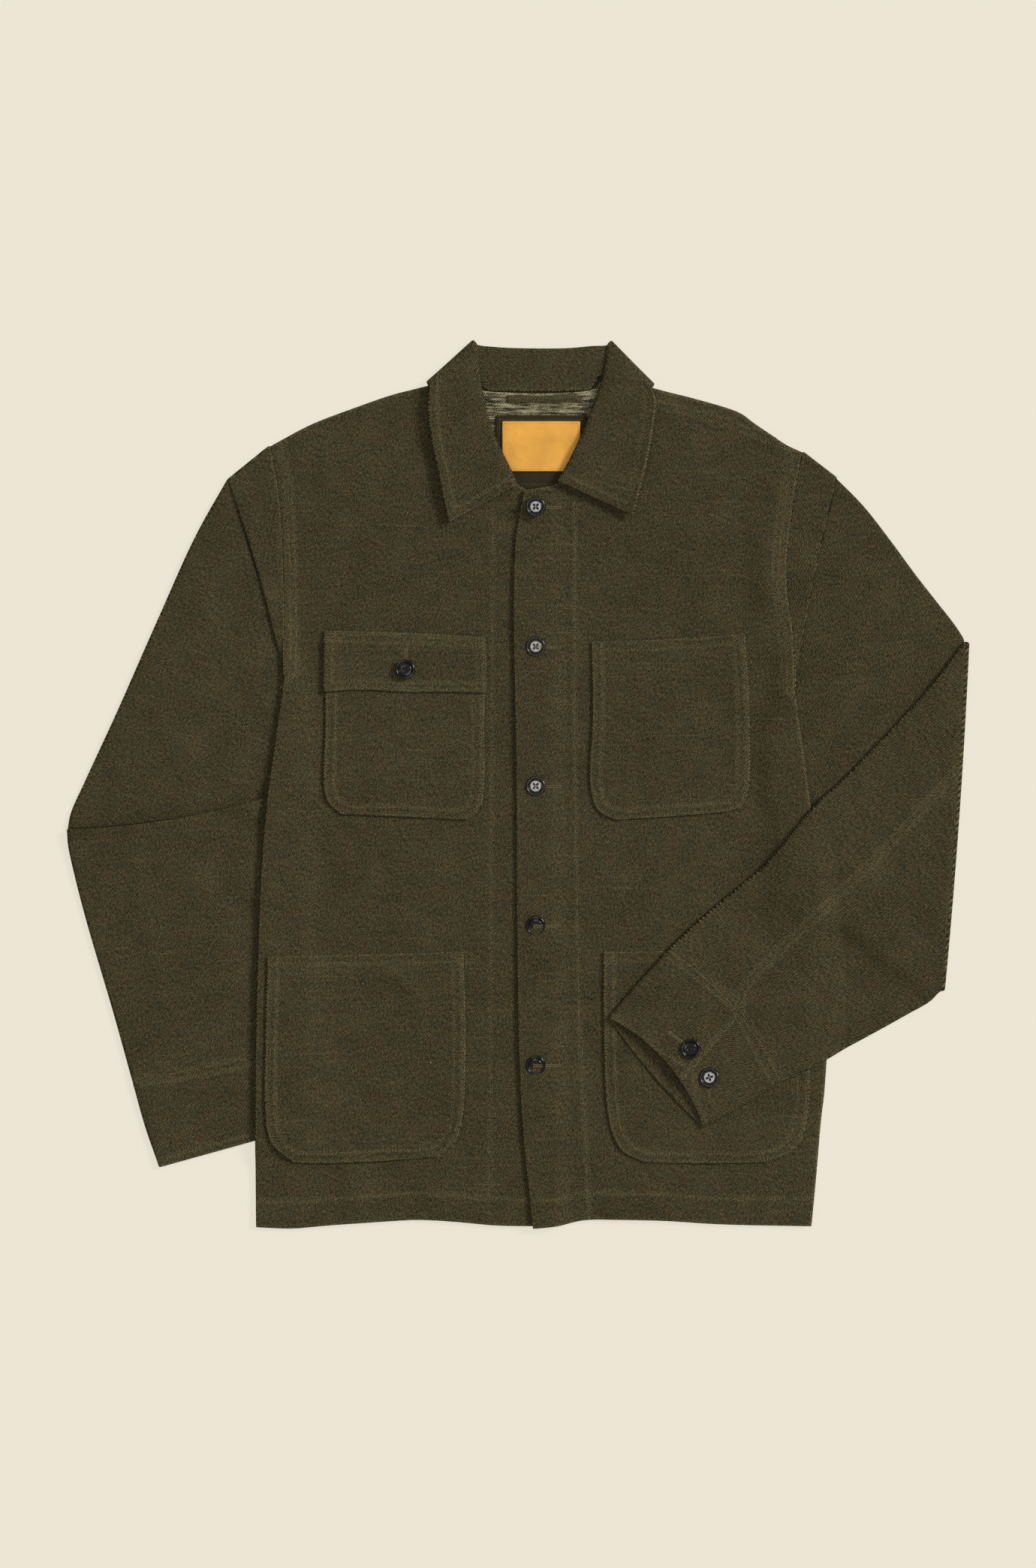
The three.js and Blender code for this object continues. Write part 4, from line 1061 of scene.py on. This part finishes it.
sew("hanger_loop", [(-8, 351), (56, 351)], straight=True)
sew("label_patch", border(LABEL_PATCH, 3.5), straight=True)
sew("label", border(LABEL, 1.6), straight=True)
lay_panel("hanger_loop", rectangle(HANGER_LOOP, 60, 8), TAPE, TWILL, soft=2)
lay_panel("label_patch", rectangle(LABEL_PATCH, 60, 42), TAPE, DARK_PATCH, soft=2)
lay_panel("label", rectangle(LABEL, 50, 34), TAPE, LABEL_YELLOW, soft=2)

# %% Fronts
front_right_grid = lay_panel("front_right", patch(
    smooth(HEM_RIGHT, HEM_COLUMNS),
    chain((SHOULDER_RIGHT[:-1] + NECK_RIGHT[-1:], HEM_COLUMNS - NECK_COLUMNS), (NECK_RIGHT[::-1], NECK_COLUMNS)),
    sides(SIDE_RIGHT, ARMHOLE_RIGHT), smooth(EDGE_RIGHT, SIDE_ROWS + ARMHOLE_ROWS)), CLOTH, TWILL, loft=front_loft)
front_left_grid = lay_panel("front_left", patch(
    smooth(HEM_LEFT, HEM_COLUMNS),
    chain((NECK_LEFT, NECK_COLUMNS), (NECK_LEFT[-1:] + SHOULDER_LEFT[1:], HEM_COLUMNS - NECK_COLUMNS)),
    smooth(EDGE_LEFT, SIDE_ROWS + ARMHOLE_ROWS), sides(SIDE_LEFT, ARMHOLE_LEFT)), CLOTH, TWILL, loft=front_loft)

# %% Pockets and flap
POCKET_PITCH = 1.7
for name, (left, right, bottom, top) in POCKETS.items():
    wide, high = steps(top, POCKET_PITCH), steps(left, POCKET_PITCH)
    lay_panel(name, patch(smooth(bottom, wide), smooth(top, wide), smooth(left, high), smooth(right, high)),
              CLOTH, TWILL, soft=3, loft=pocket_loft)

# %% Collar
# The grain runs along the stand, and nearly upright on each wing: x and degrees.
STAND_TURN, WING_TURNS = 90, ((0, 4), (36, -12))
COLLAR_MIDDLE = (18, 380)
COLLAR_SOFT = 8
rise, nearby = sewn_relief("collar", collar_plan)
lying = (1 + collar_side) / 2
chest = pile.rest(collar_plan[..., 0], collar_plan[..., 1], COLLAR_SOFT) + COLLAR_PLY / 2 + over * FALL_OVER_STAND
collar_grid = np.dstack([collar_plan, behind + (chest + rise * on_fall - behind) * lying])
settle("collar", collar_grid, COLLAR_PLY)
degrees = np.where(on_fall[None], np.interp(collar_plan[..., 0], *zip(*WING_TURNS)), STAND_TURN)
visible = on_fall[None] & (collar_side > 0.5)
nearby = [np.where(visible, d, FAR) for d in nearby]
cloth_mesh("collar", collar_grid, COLLAR_PLY, grain_uv(collar_plan - COLLAR_MIDDLE, degrees), TWILL, nearby)

# %% [markdown]
# Now that the body lies there, the sleeves can be finished. The first ring of each follows its
# armhole, with its upper wall level with the front and its lower wall level with the back. The left
# sleeve turns over along its fold, so the wall that was on top continues underneath, and the forearm
# then lies on the front.

# %% Sleeve heads and meshes
ARMHOLE_GAP = 0.9
UPPER_TURN_RIGHT, FOREARM_TURN_RIGHT = -20, 4
UPPER_TURN_LEFT, FOREARM_TURN_LEFT = 9, -43


def head_ring(armhole, outward, front, back, edge):
    """The ring of a sleeve that runs along its armhole."""
    line = smooth(armhole, ARMHOLE_ROWS)
    at = np.linspace(0, ARMHOLE_ROWS, WALL + 1)
    rows = np.arange(ARMHOLE_ROWS + 1)
    x, y = (np.interp(at, rows, line[:, k]) for k in (0, 1))
    x = x + outward * ARMHOLE_GAP
    high, low = (np.interp(at, rows, panel[SIDE_ROWS:, edge, 2]) for panel in (front, back))

    def corner(k, way):
        middle, half = (high[k] + low[k]) / 2, (high[k] - low[k]) / 2
        return np.column_stack([x[k] + outward * TUBE_HALF * np.sin(TURN), y[k] + 0 * TURN,
                                middle + way * half * np.cos(TURN)])

    upper, lower = (np.column_stack([x, y, height]) for height in (high, low))
    return np.vstack([upper, corner(-1, 1), lower[::-1], corner(0, -1)])


def sleeve(name, parts):
    """Joins lists of rings, each with the turn of its grain and which wall is up, into one tube."""
    rings = np.concatenate([rings for rings, _, _ in parts])
    uv = np.concatenate([grain_uv(open_out(rings, flip), degrees) for rings, degrees, flip in parts])
    plan, walls = rings[..., :2], np.concatenate([np.full(len(rings), flip) for rings, _, flip in parts])
    half = np.arange(rings.shape[1]) < HALF_RING
    up = np.where(half[None], walls[:, None] > 0, walls[:, None] < 0)
    if name == "sleeve_left":       # its rows are all on the forearm
        up = up & (walls[:, None] < 0)
    nearby = [np.where(up, signed(plan, run), FAR) for run in SEWN.get(name, [])]
    cloth_mesh(name, rings, CLOTH, uv, TWILL, nearby, ring=True)


def head_to_tuck(head, tuck_row, rings=17):
    """Rings from the armhole out to the edge of the tuck."""
    t = np.linspace(0, 1, rings)[:, None, None]
    return head[None] * (1 - t) + tube([tuck_row, tuck_row], on_table)[:1] * t


strip = head_to_tuck(head_ring(ARMHOLE_RIGHT, -1, front_right_grid, back_grid, 0), SLEEVE_RIGHT[2])
sleeve("sleeve_right", [
    (strip, UPPER_TURN_RIGHT, 1), (step(strip[-1], right_upper[0]), UPPER_TURN_RIGHT, 1),
    (right_upper, UPPER_TURN_RIGHT, 1), (step(right_upper[-1], right_forearm[0]), UPPER_TURN_RIGHT, 1),
    (right_forearm, FOREARM_TURN_RIGHT, 1)])
sleeve("cuff_right", [(right_cuff, FOREARM_TURN_RIGHT, 1)])

# %% Left sleeve, folded over
TURN_RINGS = 10
SLEEVE_SOFT = 7
HAIR = 0.02             # between two rings that only change the grain
(fold_plan,), (fold_wall,), _ = (values[:1] for values in across([FOLD_LEFT, FOLD_LEFT]))
along_fold = unit(np.array(FOLD_LEFT[2:4]) - np.array(FOLD_LEFT[:2]))
outward = np.array([along_fold[1], -along_fold[0]])
radius = FOLD_RADIUS - fold_wall * TUBE_HALF
turned = np.array([np.column_stack([
    fold_plan + outward * (radius * math.sin(angle))[:, None],
    CLOTH / 2 + TUBE_HALF + FOLD_RADIUS - radius * math.cos(angle)])
    for angle in np.linspace(0, math.pi, TURN_RINGS + 1)[1:-1]])


def on_pile(x, y):
    return pile.rest(x, y, SLEEVE_SOFT)


left_forearm = tube(stations([FOLD_LEFT] + FOREARM_LEFT)[2:], on_pile, "sleeve_left", flip=-1)
strip = head_to_tuck(head_ring(ARMHOLE_LEFT, 1, front_left_grid, back_grid, -1), UPPER_LEFT[2])
regrained = turned[-1:] - np.append(outward, 0) * HAIR
sleeve("sleeve_left", [
    (strip, UPPER_TURN_LEFT, 1), (step(strip[-1], left_upper[0]), UPPER_TURN_LEFT, 1),
    (left_upper, UPPER_TURN_LEFT, 1), (turned, UPPER_TURN_LEFT, 1),
    (np.concatenate([regrained, left_forearm]), FOREARM_TURN_LEFT, -1)])
under_cuff = Pile()
under_cuff.top = pile.top.copy()
settle("sleeve_left", left_forearm, CLOTH)

# %% [markdown]
# The left cuff is a band that wraps round the wrist end and overlaps itself on top, where its two
# buttons hold it. Its lower wall reaches further out than its upper one, which gapes a little, so
# the mouth of the cuff stands open.

# %% Left cuff
# Place across the cuff (0 near, 1 far), how much it follows the tab, wall, rise above the wall below.
BAND = [(0, 1, 1, 2.6), (0.15, 1, 1, 2.6), (0.3, 1, 1, 2.6), (0.84, 0, 1, 1.6), (0.985, 0, 1, 0)]
BAND_UNDER = [(0.985, 0, -1, 0), (0.75, 0, -1, 0), (0.5, 0, -1, 0), (0.25, 0, -1, 0), (0.015, 0, -1, 0)]
BAND_END = [(0.015, 0, 1, 0), (0.2, 0, 1, 0.6), (0.4, 0, 1, 0.6), (0.62, 0, 1, 0.6)]
CUFF_PITCH = 2.0
TAB_COLUMNS, UNDER_COLUMNS = 54, 80     # each end of the band has as many as the other
EDGE_SHARE = 0.0095                     # round edge, as a share of the width
LAP_RISE, SEAM_LOFT = 1.2, 0.5          # heights where the cuff is sewn to the sleeve
SPREAD_RATE = 2.5                       # it has its full shape at 1 / 2.5 of its length


def band_run(rows, count):
    """The rows of one wall at even steps. The first number of each is a place across the cuff."""
    rows = np.array(rows, float)
    rows[:, 0] += rows[:, 1] * CUFF_LEFT[1][7]
    stops = np.linspace(0, 1, count)
    at = lengths(rows[:, :1])
    found = np.column_stack([np.interp(stops, at / at[-1], rows[:, k]) for k in range(4)])
    found[:, 0] -= found[:, 1] * CUFF_LEFT[1][7]
    return found


edge, flat = EDGE_SHARE * INWARD, 0 * TURN
band = np.vstack([band_run(BAND, TAB_COLUMNS), np.column_stack([1 - edge, flat, np.cos(TURN), flat]),
                  band_run(BAND_UNDER, UNDER_COLUMNS), np.column_stack([edge, flat, -np.cos(TURN), flat]),
                  band_run(BAND_END, TAB_COLUMNS)])
column = np.arange(len(band))
on_tab, on_end = column < TAB_COLUMNS, column >= len(band) - TAB_COLUMNS
cuff_rows = stations(CUFF_LEFT, CUFF_PITCH)
near, far = cuff_rows[:, None, 0:2], cuff_rows[:, None, 2:4]
bow, bow_under, gape, tab = (cuff_rows[:, None, k] for k in (4, 5, 6, 7))
wall = band[None, :, 2]
s = band[None, :, 0] + band[None, :, 1] * tab
upper = (1 + wall) / 2
cuff_plan = bowed(near, far, (bow * upper + bow_under * (1 - upper))[..., None], s[..., None])
rise, nearby = sewn_relief("cuff_left", cuff_plan)
spread = soft_step(np.linspace(0, SPREAD_RATE, len(cuff_rows)))[:, None]    # 0 where it meets the sleeve
at_seam = (CROWN * np.sin(math.pi * s) + SEAM_LOFT + LAP_RISE * on_tab[None]) * (wall > 0)
cuff_z = (under_cuff.rest(cuff_plan[..., 0], cuff_plan[..., 1], SLEEVE_SOFT) + CLOTH / 2
          + TUBE_HALF * (1 + wall) + band[None, :, 3] * spread + at_seam * (1 - spread)
          + (gape * np.sin(math.pi * s) + rise) * (wall > 0))
cuff_grid = np.dstack([cuff_plan, cuff_z])
first_edge = TAB_COLUMNS + CORNER
opened = near + (far - near) * np.where(column < first_edge, s,
                                        np.where(column < first_edge + UNDER_COLUMNS, 2 - s, 2 + s))[..., None]
nearby = [np.where(part, d, FAR) for part, d in zip((wall > 0, on_tab[None], on_end[None], on_tab[None]), nearby)]
cloth_mesh("cuff_left", cuff_grid, CLOTH, grain_uv(opened, FOREARM_TURN_LEFT), TWILL, nearby)
settle("cuff_left", cuff_grid, CLOTH)

# %% [markdown]
# ## Stitches
# A row of machine stitches is the same short thread over and over, so geometry nodes place them: the
# row becomes a curve, points are spread along it at the stitch pitch, and each point gets a small
# rounded thread that lies along the row. Thread that another piece covers isn't made.

# %% Stitch maker
def sewing_nodes():
    """A tree that puts stitches along the edges of a mesh."""
    tree = bpy.data.node_groups.new("sewing", "GeometryNodeTree")
    for name, kind in (("Geometry", "Geometry"), ("Pitch", "Float"), ("Length", "Float"), ("Width", "Float"),
                       ("Thickness", "Float"), ("Seed", "Int"), ("Thread", "Material")):
        tree.interface.new_socket(name, in_out="INPUT", socket_type="NodeSocket" + kind)
    tree.interface.new_socket("Geometry", in_out="OUTPUT", socket_type="NodeSocketGeometry")

    def node(kind, settings=(), **links):
        made = tree.nodes.new(kind)
        for key, value in dict(settings).items():
            setattr(made, key, value)
        for key, value in links.items():
            socket = made.inputs[key.replace("_", " ")]
            if isinstance(value, bpy.types.NodeSocket):
                tree.links.new(value, socket)
            else:
                socket.default_value = value
        return made.outputs

    given = node("NodeGroupInput")
    row = node("GeometryNodeMeshToCurve", Mesh=given["Geometry"])["Curve"]
    row = node("GeometryNodeResampleCurve", {"mode": "LENGTH"}, Curve=row, Length=given["Pitch"])["Curve"]
    size = node("ShaderNodeCombineXYZ", X=given["Length"], Y=given["Width"], Z=given["Thickness"])["Vector"]
    vary = node("FunctionNodeRandomValue", {"data_type": "FLOAT"}, Seed=given["Seed"])
    vary[0].node.inputs[2].default_value, vary[0].node.inputs[3].default_value = 0.8, 1.1
    size = node("ShaderNodeVectorMath", {"operation": "SCALE"}, Vector=size, Scale=vary[1])["Vector"]
    along = node("GeometryNodeInputTangent")["Tangent"]
    turn = node("FunctionNodeAlignRotationToVector", {"axis": "X"}, Vector=along)["Rotation"]
    thread = node("GeometryNodeMeshUVSphere", Segments=6, Rings=4, Radius=0.5)["Mesh"]
    threads = node("GeometryNodeInstanceOnPoints", Points=row, Instance=thread, Rotation=turn,
                   Scale=size)["Instances"]
    threads = node("GeometryNodeRealizeInstances", Geometry=threads)["Geometry"]
    threads = node("GeometryNodeSetShadeSmooth", Geometry=threads)["Geometry"]
    threads = node("GeometryNodeSetMaterial", Geometry=threads, Material=given["Thread"])["Geometry"]
    node("NodeGroupOutput", Geometry=threads)
    return tree


SEWING = sewing_nodes()


def thread_finish(name, colour):
    p = Paint(name)
    spot = p.node("ShaderNodeTexCoord", {}, {}, output=3)
    tone = p.noise(spot, 500, 1) + 0.5
    return p.surface(p.shades(tone, colour, 0.75, 1.3), 0.85, **{"Specular IOR Level": 0.15})


OLIVE_THREAD = thread_finish("olive_thread", srgb(110, 102, 73))
ORANGE_THREAD = thread_finish("orange_thread", srgb(205, 120, 35))


def plain_mesh(obj):
    """Applies an object's modifiers and removes them."""
    graph = bpy.context.evaluated_depsgraph_get()
    mesh = bpy.data.meshes.new_from_object(obj.evaluated_get(graph))
    obj.modifiers.clear()
    obj.data = mesh
    return mesh


THREAD_PITCH = 1.2      # spacing of the points that the height of a row is read at
ON_PIECE, COVERED = 0.6, 0.7    # least share of a cell that the piece fills, most cloth above it in mm


def uncovered(piece, run, lift):
    """The parts of a row that lie on its piece and can be seen, as points in space."""
    run = even(run, max(2, steps(run, THREAD_PITCH)))
    x, y = run.T
    level = pile.read(tops[piece], x, y)
    seen = (pile.read(zones[piece], x, y) > ON_PIECE) & (pile.read(pile.top, x, y) < level + COVERED)
    level = np.convolve(np.pad(level, 2, mode="edge"), np.ones(5) / 5, mode="valid")
    points = np.column_stack([run + SHIFT, level + lift]) * MM
    cuts = np.flatnonzero(np.diff(seen.astype(int))) + 1
    return [part for part, on in zip(np.split(points, cuts), np.split(seen, cuts)) if on[0] and len(part) > 2]


def sewing(name, rows, pitch, length, width, thickness, thread, lift=0.0):
    """Makes one object of stitches along rows, each with the piece that it lies on. Sizes in mm."""
    points, edges = [], []
    for piece, run in rows:
        for part in uncovered(piece, run, lift):
            edges += [(len(points) + k, len(points) + k + 1) for k in range(len(part) - 1)]
            points += part.tolist()
    mesh = bpy.data.meshes.new(name)
    mesh.from_pydata(points, edges, [])
    obj = placed(name, mesh)
    maker = obj.modifiers.new("sewing", "NODES")
    maker.node_group = SEWING
    inputs = {item.name: item.identifier for item in SEWING.interface.items_tree
              if item.item_type == "SOCKET" and item.in_out == "INPUT"}
    for key, value in (("Pitch", pitch), ("Length", length), ("Width", width), ("Thickness", thickness)):
        maker[inputs[key]] = value * MM
    maker[inputs["Seed"]], maker[inputs["Thread"]] = len(name), thread
    made = plain_mesh(obj)
    obj.data.name = name
    pieces[name] = obj
    print(f"{name}: {2 * len(made.polygons)} faces from {len(points)} points")


# %% Rows of stitches
GROUPS = {
    "stitches_fronts": ("front_left", "front_right"), "stitches_neck": ("back", "hanger_loop"),
    "stitches_pockets": tuple(POCKETS), "stitches_collar": ("collar",),
    "stitches_sleeves": ("sleeve_left", "cuff_left", "sleeve_right", "cuff_right"),
}
TACK = (2, -12.5), (9, -2)      # a slanting bar at each upper corner of a pocket: in from it, and up
tacks = [(name, np.array([(x + way * inward, y + up) for inward, up in TACK]))
         for name, (*_, top) in POCKETS.items() if name.startswith("pocket")
         for (x, y), way in ((top[0], 1), (top[-1], -1))]
for group, names in GROUPS.items():
    rows = [(name, run) for name in names for run in SEWN.get(name, [])]
    if group == "stitches_pockets":
        rows += tacks
    sewing(group, rows, pitch=2.7, length=2.0, width=0.65, thickness=0.5, thread=OLIVE_THREAD, lift=-0.05)
for name, piece, pitch, length, thread in (("label_stitches", "label", 1.9, 1.1, ORANGE_THREAD),
                                           ("patch_stitches", "label_patch", 2.4, 1.8, OLIVE_THREAD)):
    sewing(name, [(piece, run) for run in SEWN[piece]], pitch, length, width=0.5, thickness=0.4, thread=thread)

# %% [markdown]
# Buttonholes are worked with threads that cross the edge of the slot, close together, down one side
# and up the other. The front ones lie across, so that the button pulls to the end of its slot, and
# the flap's is upright.

# %% Buttonholes
SLOT_HALF, BAR = 0.85, 1.4      # half width, and how much wider the bar at its end is
SLOT_FROM, SLOT_TO, SLOT_DROP = -2, 22.5, 0.5   # of a front one, from the middle of its button


def slot_rows(piece, a, b):
    """Both sides of a slot from a to b."""
    a, b = np.array(a, float), np.array(b, float)
    ahead = unit(b - a)
    aside = np.array([-ahead[1], ahead[0]]) * SLOT_HALF
    return [(piece, np.array([a + aside, b + aside])), (piece, np.array([a - aside, b - aside])),
            (piece, np.array([b + aside * BAR, b - aside * BAR]))]


worked = []
for n in range(5):
    slot_y = BUTTON_TOP_Y - n * BUTTON_STEP - SLOT_DROP
    worked += slot_rows("front_left", (BUTTON_X + SLOT_FROM, slot_y), (BUTTON_X + SLOT_TO, slot_y))
worked += slot_rows("flap_chest_right", (-102, 100), (-101.5, 122.5))
worked += slot_rows("cuff_left", (161, -243), (136.5, -224))
sewing("buttonhole_threads", worked, pitch=0.62, length=0.6, width=1.6, thickness=0.55,
       thread=OLIVE_THREAD, lift=0.1)

# %% [markdown]
# ## Buttons
# Each button is turned from one blank: a domed rim, a groove inside it, and a dished middle with four
# holes. The profile is spun round its axis and the holes are cut with a boolean. The buttons lean a
# little, each its own way, because the thread that holds them is loose. So each one shines elsewhere.

# %% Buttons
BUTTON_R, BUTTON_THICK, BUTTON_SIDES = 9.0, 3.4, 48
HOLE_R, HOLE_OUT, HOLE_SIDES = 0.95, 1.7, 12
DRILL_LOW, DRILL_HIGH = -1, 6
# Out from the axis and up from the back, as shares of the radius and of the thickness.
PROFILE = [(0, 0.1), (0.70, 0.1), (0.93, 0.2), (1.0, 0.42), (1.0, 0.6), (0.98, 0.78), (0.945, 0.9), (0.905, 0.97),
           (0.87, 1.0), (0.835, 0.98), (0.80, 0.92), (0.765, 0.82), (0.72, 0.66), (0.68, 0.53), (0.66, 0.5),
           (0.64, 0.53), (0.61, 0.6), (0.58, 0.655), (0.555, 0.68), (0.52, 0.685), (0.4, 0.675), (0.25, 0.668),
           (0.12, 0.665), (0, 0.664)]


def gloss():
    p = Paint("black_resin")
    spot = p.node("ShaderNodeTexCoord", {}, {}, output=3)
    swirl = p.noise(spot, 300, 2) + 0.5
    colour = p.mix(swirl, (0.002, 0.002, 0.002, 1), (0.006, 0.006, 0.005, 1))
    return p.surface(colour, swirl * 0.05 + 0.1,
                     **{"Specular IOR Level": 0.35, "Coat Weight": 0.3, "Coat Roughness": 0.03})


BUTTON_FINISH = gloss()


def spin(name, profile, sides):
    """A solid of revolution about +Z."""
    points, faces = [], []
    ring = [(r, z) for r, z in profile if r > 0]
    for k in range(sides):
        angle = 2 * math.pi * k / sides
        points += [(r * math.cos(angle), r * math.sin(angle), z) for r, z in ring]
    n = len(ring)
    for k in range(sides):
        for i in range(n - 1):
            a, b = k * n + i, ((k + 1) % sides) * n + i
            faces.append((a, b, b + 1, a + 1))
    low, high = len(points), len(points) + 1
    points += [(0, 0, profile[0][1]), (0, 0, profile[-1][1])]
    for k in range(sides):
        a, b = k * n, ((k + 1) % sides) * n
        faces += [(low, b, a), (high, a + n - 1, b + n - 1)]
    mesh = bpy.data.meshes.new(name)
    mesh.from_pydata(points, [], faces)
    mesh.update()
    return mesh


points, faces = [], []
for k in range(4):
    angle = math.pi / 4 + k * math.pi / 2
    cx, cy = HOLE_OUT * math.cos(angle), HOLE_OUT * math.sin(angle)
    foot = [len(points) + i for i in range(HOLE_SIDES)]
    for z in (DRILL_LOW, DRILL_HIGH):
        points += [((cx + HOLE_R * math.cos(a)) * MM, (cy + HOLE_R * math.sin(a)) * MM, z * MM)
                   for a in np.linspace(0, 2 * math.pi, HOLE_SIDES, endpoint=False)]
    faces += [(a, b, b + HOLE_SIDES, a + HOLE_SIDES) for a, b in zip(foot, foot[1:] + foot[:1])]
    faces += [foot[::-1], [i + HOLE_SIDES for i in foot]]
drill_mesh = bpy.data.meshes.new("drill")
drill_mesh.from_pydata(points, [], faces)
blank = placed("blank", spin("blank", [(r * BUTTON_R * MM, z * BUTTON_THICK * MM) for r, z in PROFILE], BUTTON_SIDES))
drill = placed("drill", drill_mesh)
cut = blank.modifiers.new("holes", "BOOLEAN")
cut.object, cut.solver = drill, "EXACT"
button_mesh = plain_mesh(blank).copy()
for used in (blank, drill):
    bpy.data.objects.remove(used)
button_mesh.materials.clear()
button_mesh.materials.append(BUTTON_FINISH)
button_mesh.polygons.foreach_set("use_smooth", [True] * len(button_mesh.polygons))
print("button:", len(button_mesh.polygons), "faces")

# %% Sewing the buttons on
# Turn of the holes, then how far the face leans and towards which side, in degrees.
BUTTONS = {f"button_{n + 1}": (90, lean, towards) for n, (lean, towards) in enumerate(
    ((3.4, -85), (1.8, -120), (1.0, 100), (7.0, -95), (6.0, -80)))}
BUTTONS |= {"button_flap": (20, 3.6, 125), "button_cuff_1": (50, 4.5, 10), "button_cuff_2": (60, 4.6, 123)}
for name, (turn, lean, towards) in BUTTONS.items():
    low, high = (np.array(corner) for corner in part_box(name))
    mesh = button_mesh.copy()
    co = np.empty(len(mesh.vertices) * 3)
    mesh.vertices.foreach_get("co", co)
    co = co.reshape(-1, 3) - (0, 0, BUTTON_THICK * MM / 2)
    turn, lean, towards = (math.radians(angle) for angle in (turn, lean, towards))
    co = co @ np.array([[math.cos(turn), math.sin(turn), 0], [-math.sin(turn), math.cos(turn), 0], [0, 0, 1]])
    axis = np.array([-math.sin(towards), math.cos(towards), 0])
    co = (co * math.cos(lean) + np.cross(axis, co) * math.sin(lean)
          + (co @ axis)[:, None] * axis * (1 - math.cos(lean)))
    mesh.vertices.foreach_set("co", (co + (low + high) / 2).ravel())
    mesh.update()
    pieces[name] = placed(name, mesh)

# %% [markdown]
# ## Frame, studio and camera
# Every piece rides on the one rigid body, and takes the place of its CAD node. Every cloth piece prints
# how big it was when it was cut.

# %% Pieces and their CAD nodes
for name, obj in pieces.items():
    obj.name = name + "_made"
    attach(obj, "root")
    if name not in (*GROUPS, "label_stitches", "patch_stitches", "buttonhole_threads"):
        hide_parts(name)
bpy.context.view_layer.update()

# %% Sheets of cloth
# What holds each piece, and what it rests on.
HELD = {
    "back": ("laid", ("sleeve_left", "sleeve_right")), "front_right": ("laid", ("back", "collar")),
    "front_left": ("laid", ("front_right", "back", "collar")), "sleeve_right": ("laid", ()),
    "sleeve_left": ("folded", ("front_left", "pocket_hip_left")), "cuff_right": ("laid", ()),
    "cuff_left": ("laid", ("front_left", "pocket_hip_left")),
    "collar": ("folded", ("front_left", "front_right", "back")),
    "hanger_loop": ("laid", ("back",)), "label_patch": ("laid", ("back",)), "label": ("laid", ("label_patch",)),
    "pocket_chest_right": ("laid", ("front_right",)), "flap_chest_right": ("laid", ("pocket_chest_right",)),
    "pocket_chest_left": ("laid", ("front_left",)), "pocket_hip_right": ("laid", ("front_right",)),
    "pocket_hip_left": ("laid", ("front_left",)),
}
NARROWEST = 10.5        # the hanging tape is a strip folded in two along its length
cut_area = 0
for name, (held, below) in HELD.items():
    wide, long, area = CUT[name]
    long = max(long, NARROWEST)
    cut_area += area
    wide * MM
    long * MM
    area * MM**2
    print(f"{name}: cut {wide:.0f} x {long:.0f} mm, {area / 1e6:.3f} square metres")
print(f"whole cut: {cut_area / 1e6:.2f} square metres")

# %% [markdown]
# The jacket lies on pale paper that seems to glow a little, as it does in a bright studio, so the
# shadows on it all but vanish. The camera looks straight down through a long lens.

# %% Floor
FLOOR_HALF, FLOOR_LEVEL = 3, -0.0006
corners = [(FLOOR_HALF * x, FLOOR_HALF * y, FLOOR_LEVEL) for x, y in ((-1, -1), (1, -1), (1, 1), (-1, 1))]
floor_mesh = bpy.data.meshes.new("floor")
floor_mesh.from_pydata(corners, [], [(0, 1, 2, 3)])
paper = Paint("pale_paper")
PAPER = np.array(srgb(237, 230, 214))
floor_mesh.materials.append(paper.surface((*(PAPER * 0.17), 1), 0.95, **{
    "Specular IOR Level": 0.0, "Emission Color": (*PAPER, 1), "Emission Strength": 0.845}))
floor = placed("floor", floor_mesh)
floor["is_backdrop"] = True

# %% Camera
SEEN_LENGTH, SEEN_LEVEL = 1.41984, 0.008    # metres that the camera sees up and down, at this height
lens = bpy.data.cameras.new("camera")
lens.lens, lens.sensor_width = 100, 36
camera = placed("camera", lens)
camera.location = (0, 0, SEEN_LENGTH / 2 / (lens.sensor_width / 2 / lens.lens) + SEEN_LEVEL)
bpy.context.scene.camera = camera

# %% [markdown]
# One broad soft lamp stands to the right and a little towards the collar, so creases and edges shade
# to the left and below. A small lamp beside the camera puts the white shine in the buttons, and the
# room fills in the rest.

# %% Lights
def lamp(name, kind, energy, place, **settings):
    light = bpy.data.lights.new(name, kind)
    light.energy = energy
    for key, value in settings.items():
        setattr(light, key, value)
    obj = placed(name, light)
    obj.location = place
    obj.rotation_mode = "QUATERNION"
    obj.rotation_quaternion = (-Vector(place)).to_track_quat("-Z", "Y")


AROUND, UP, AWAY = math.radians(27), math.radians(37), 3     # where the key lamp stands
WARM_WHITE = (1, 0.985, 0.96)
lamp("key", "SUN", 2.3, (AWAY * math.cos(UP) * math.cos(AROUND), AWAY * math.cos(UP) * math.sin(AROUND),
                         AWAY * math.sin(UP)), angle=math.radians(18), color=WARM_WHITE)
lamp("overhead", "AREA", 15, (0, 0, 3.2), shape="SQUARE", size=0.7)
world = bpy.data.worlds.new("studio")
world.use_nodes = True
background = world.node_tree.nodes["Background"].inputs
background[0].default_value, background[1].default_value = (*WARM_WHITE, 1), 0.34
bpy.context.scene.world = world
bpy.context.scene.view_settings.view_transform = "Standard"

# %% Size
low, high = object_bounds()
print("visual box:", low, high)
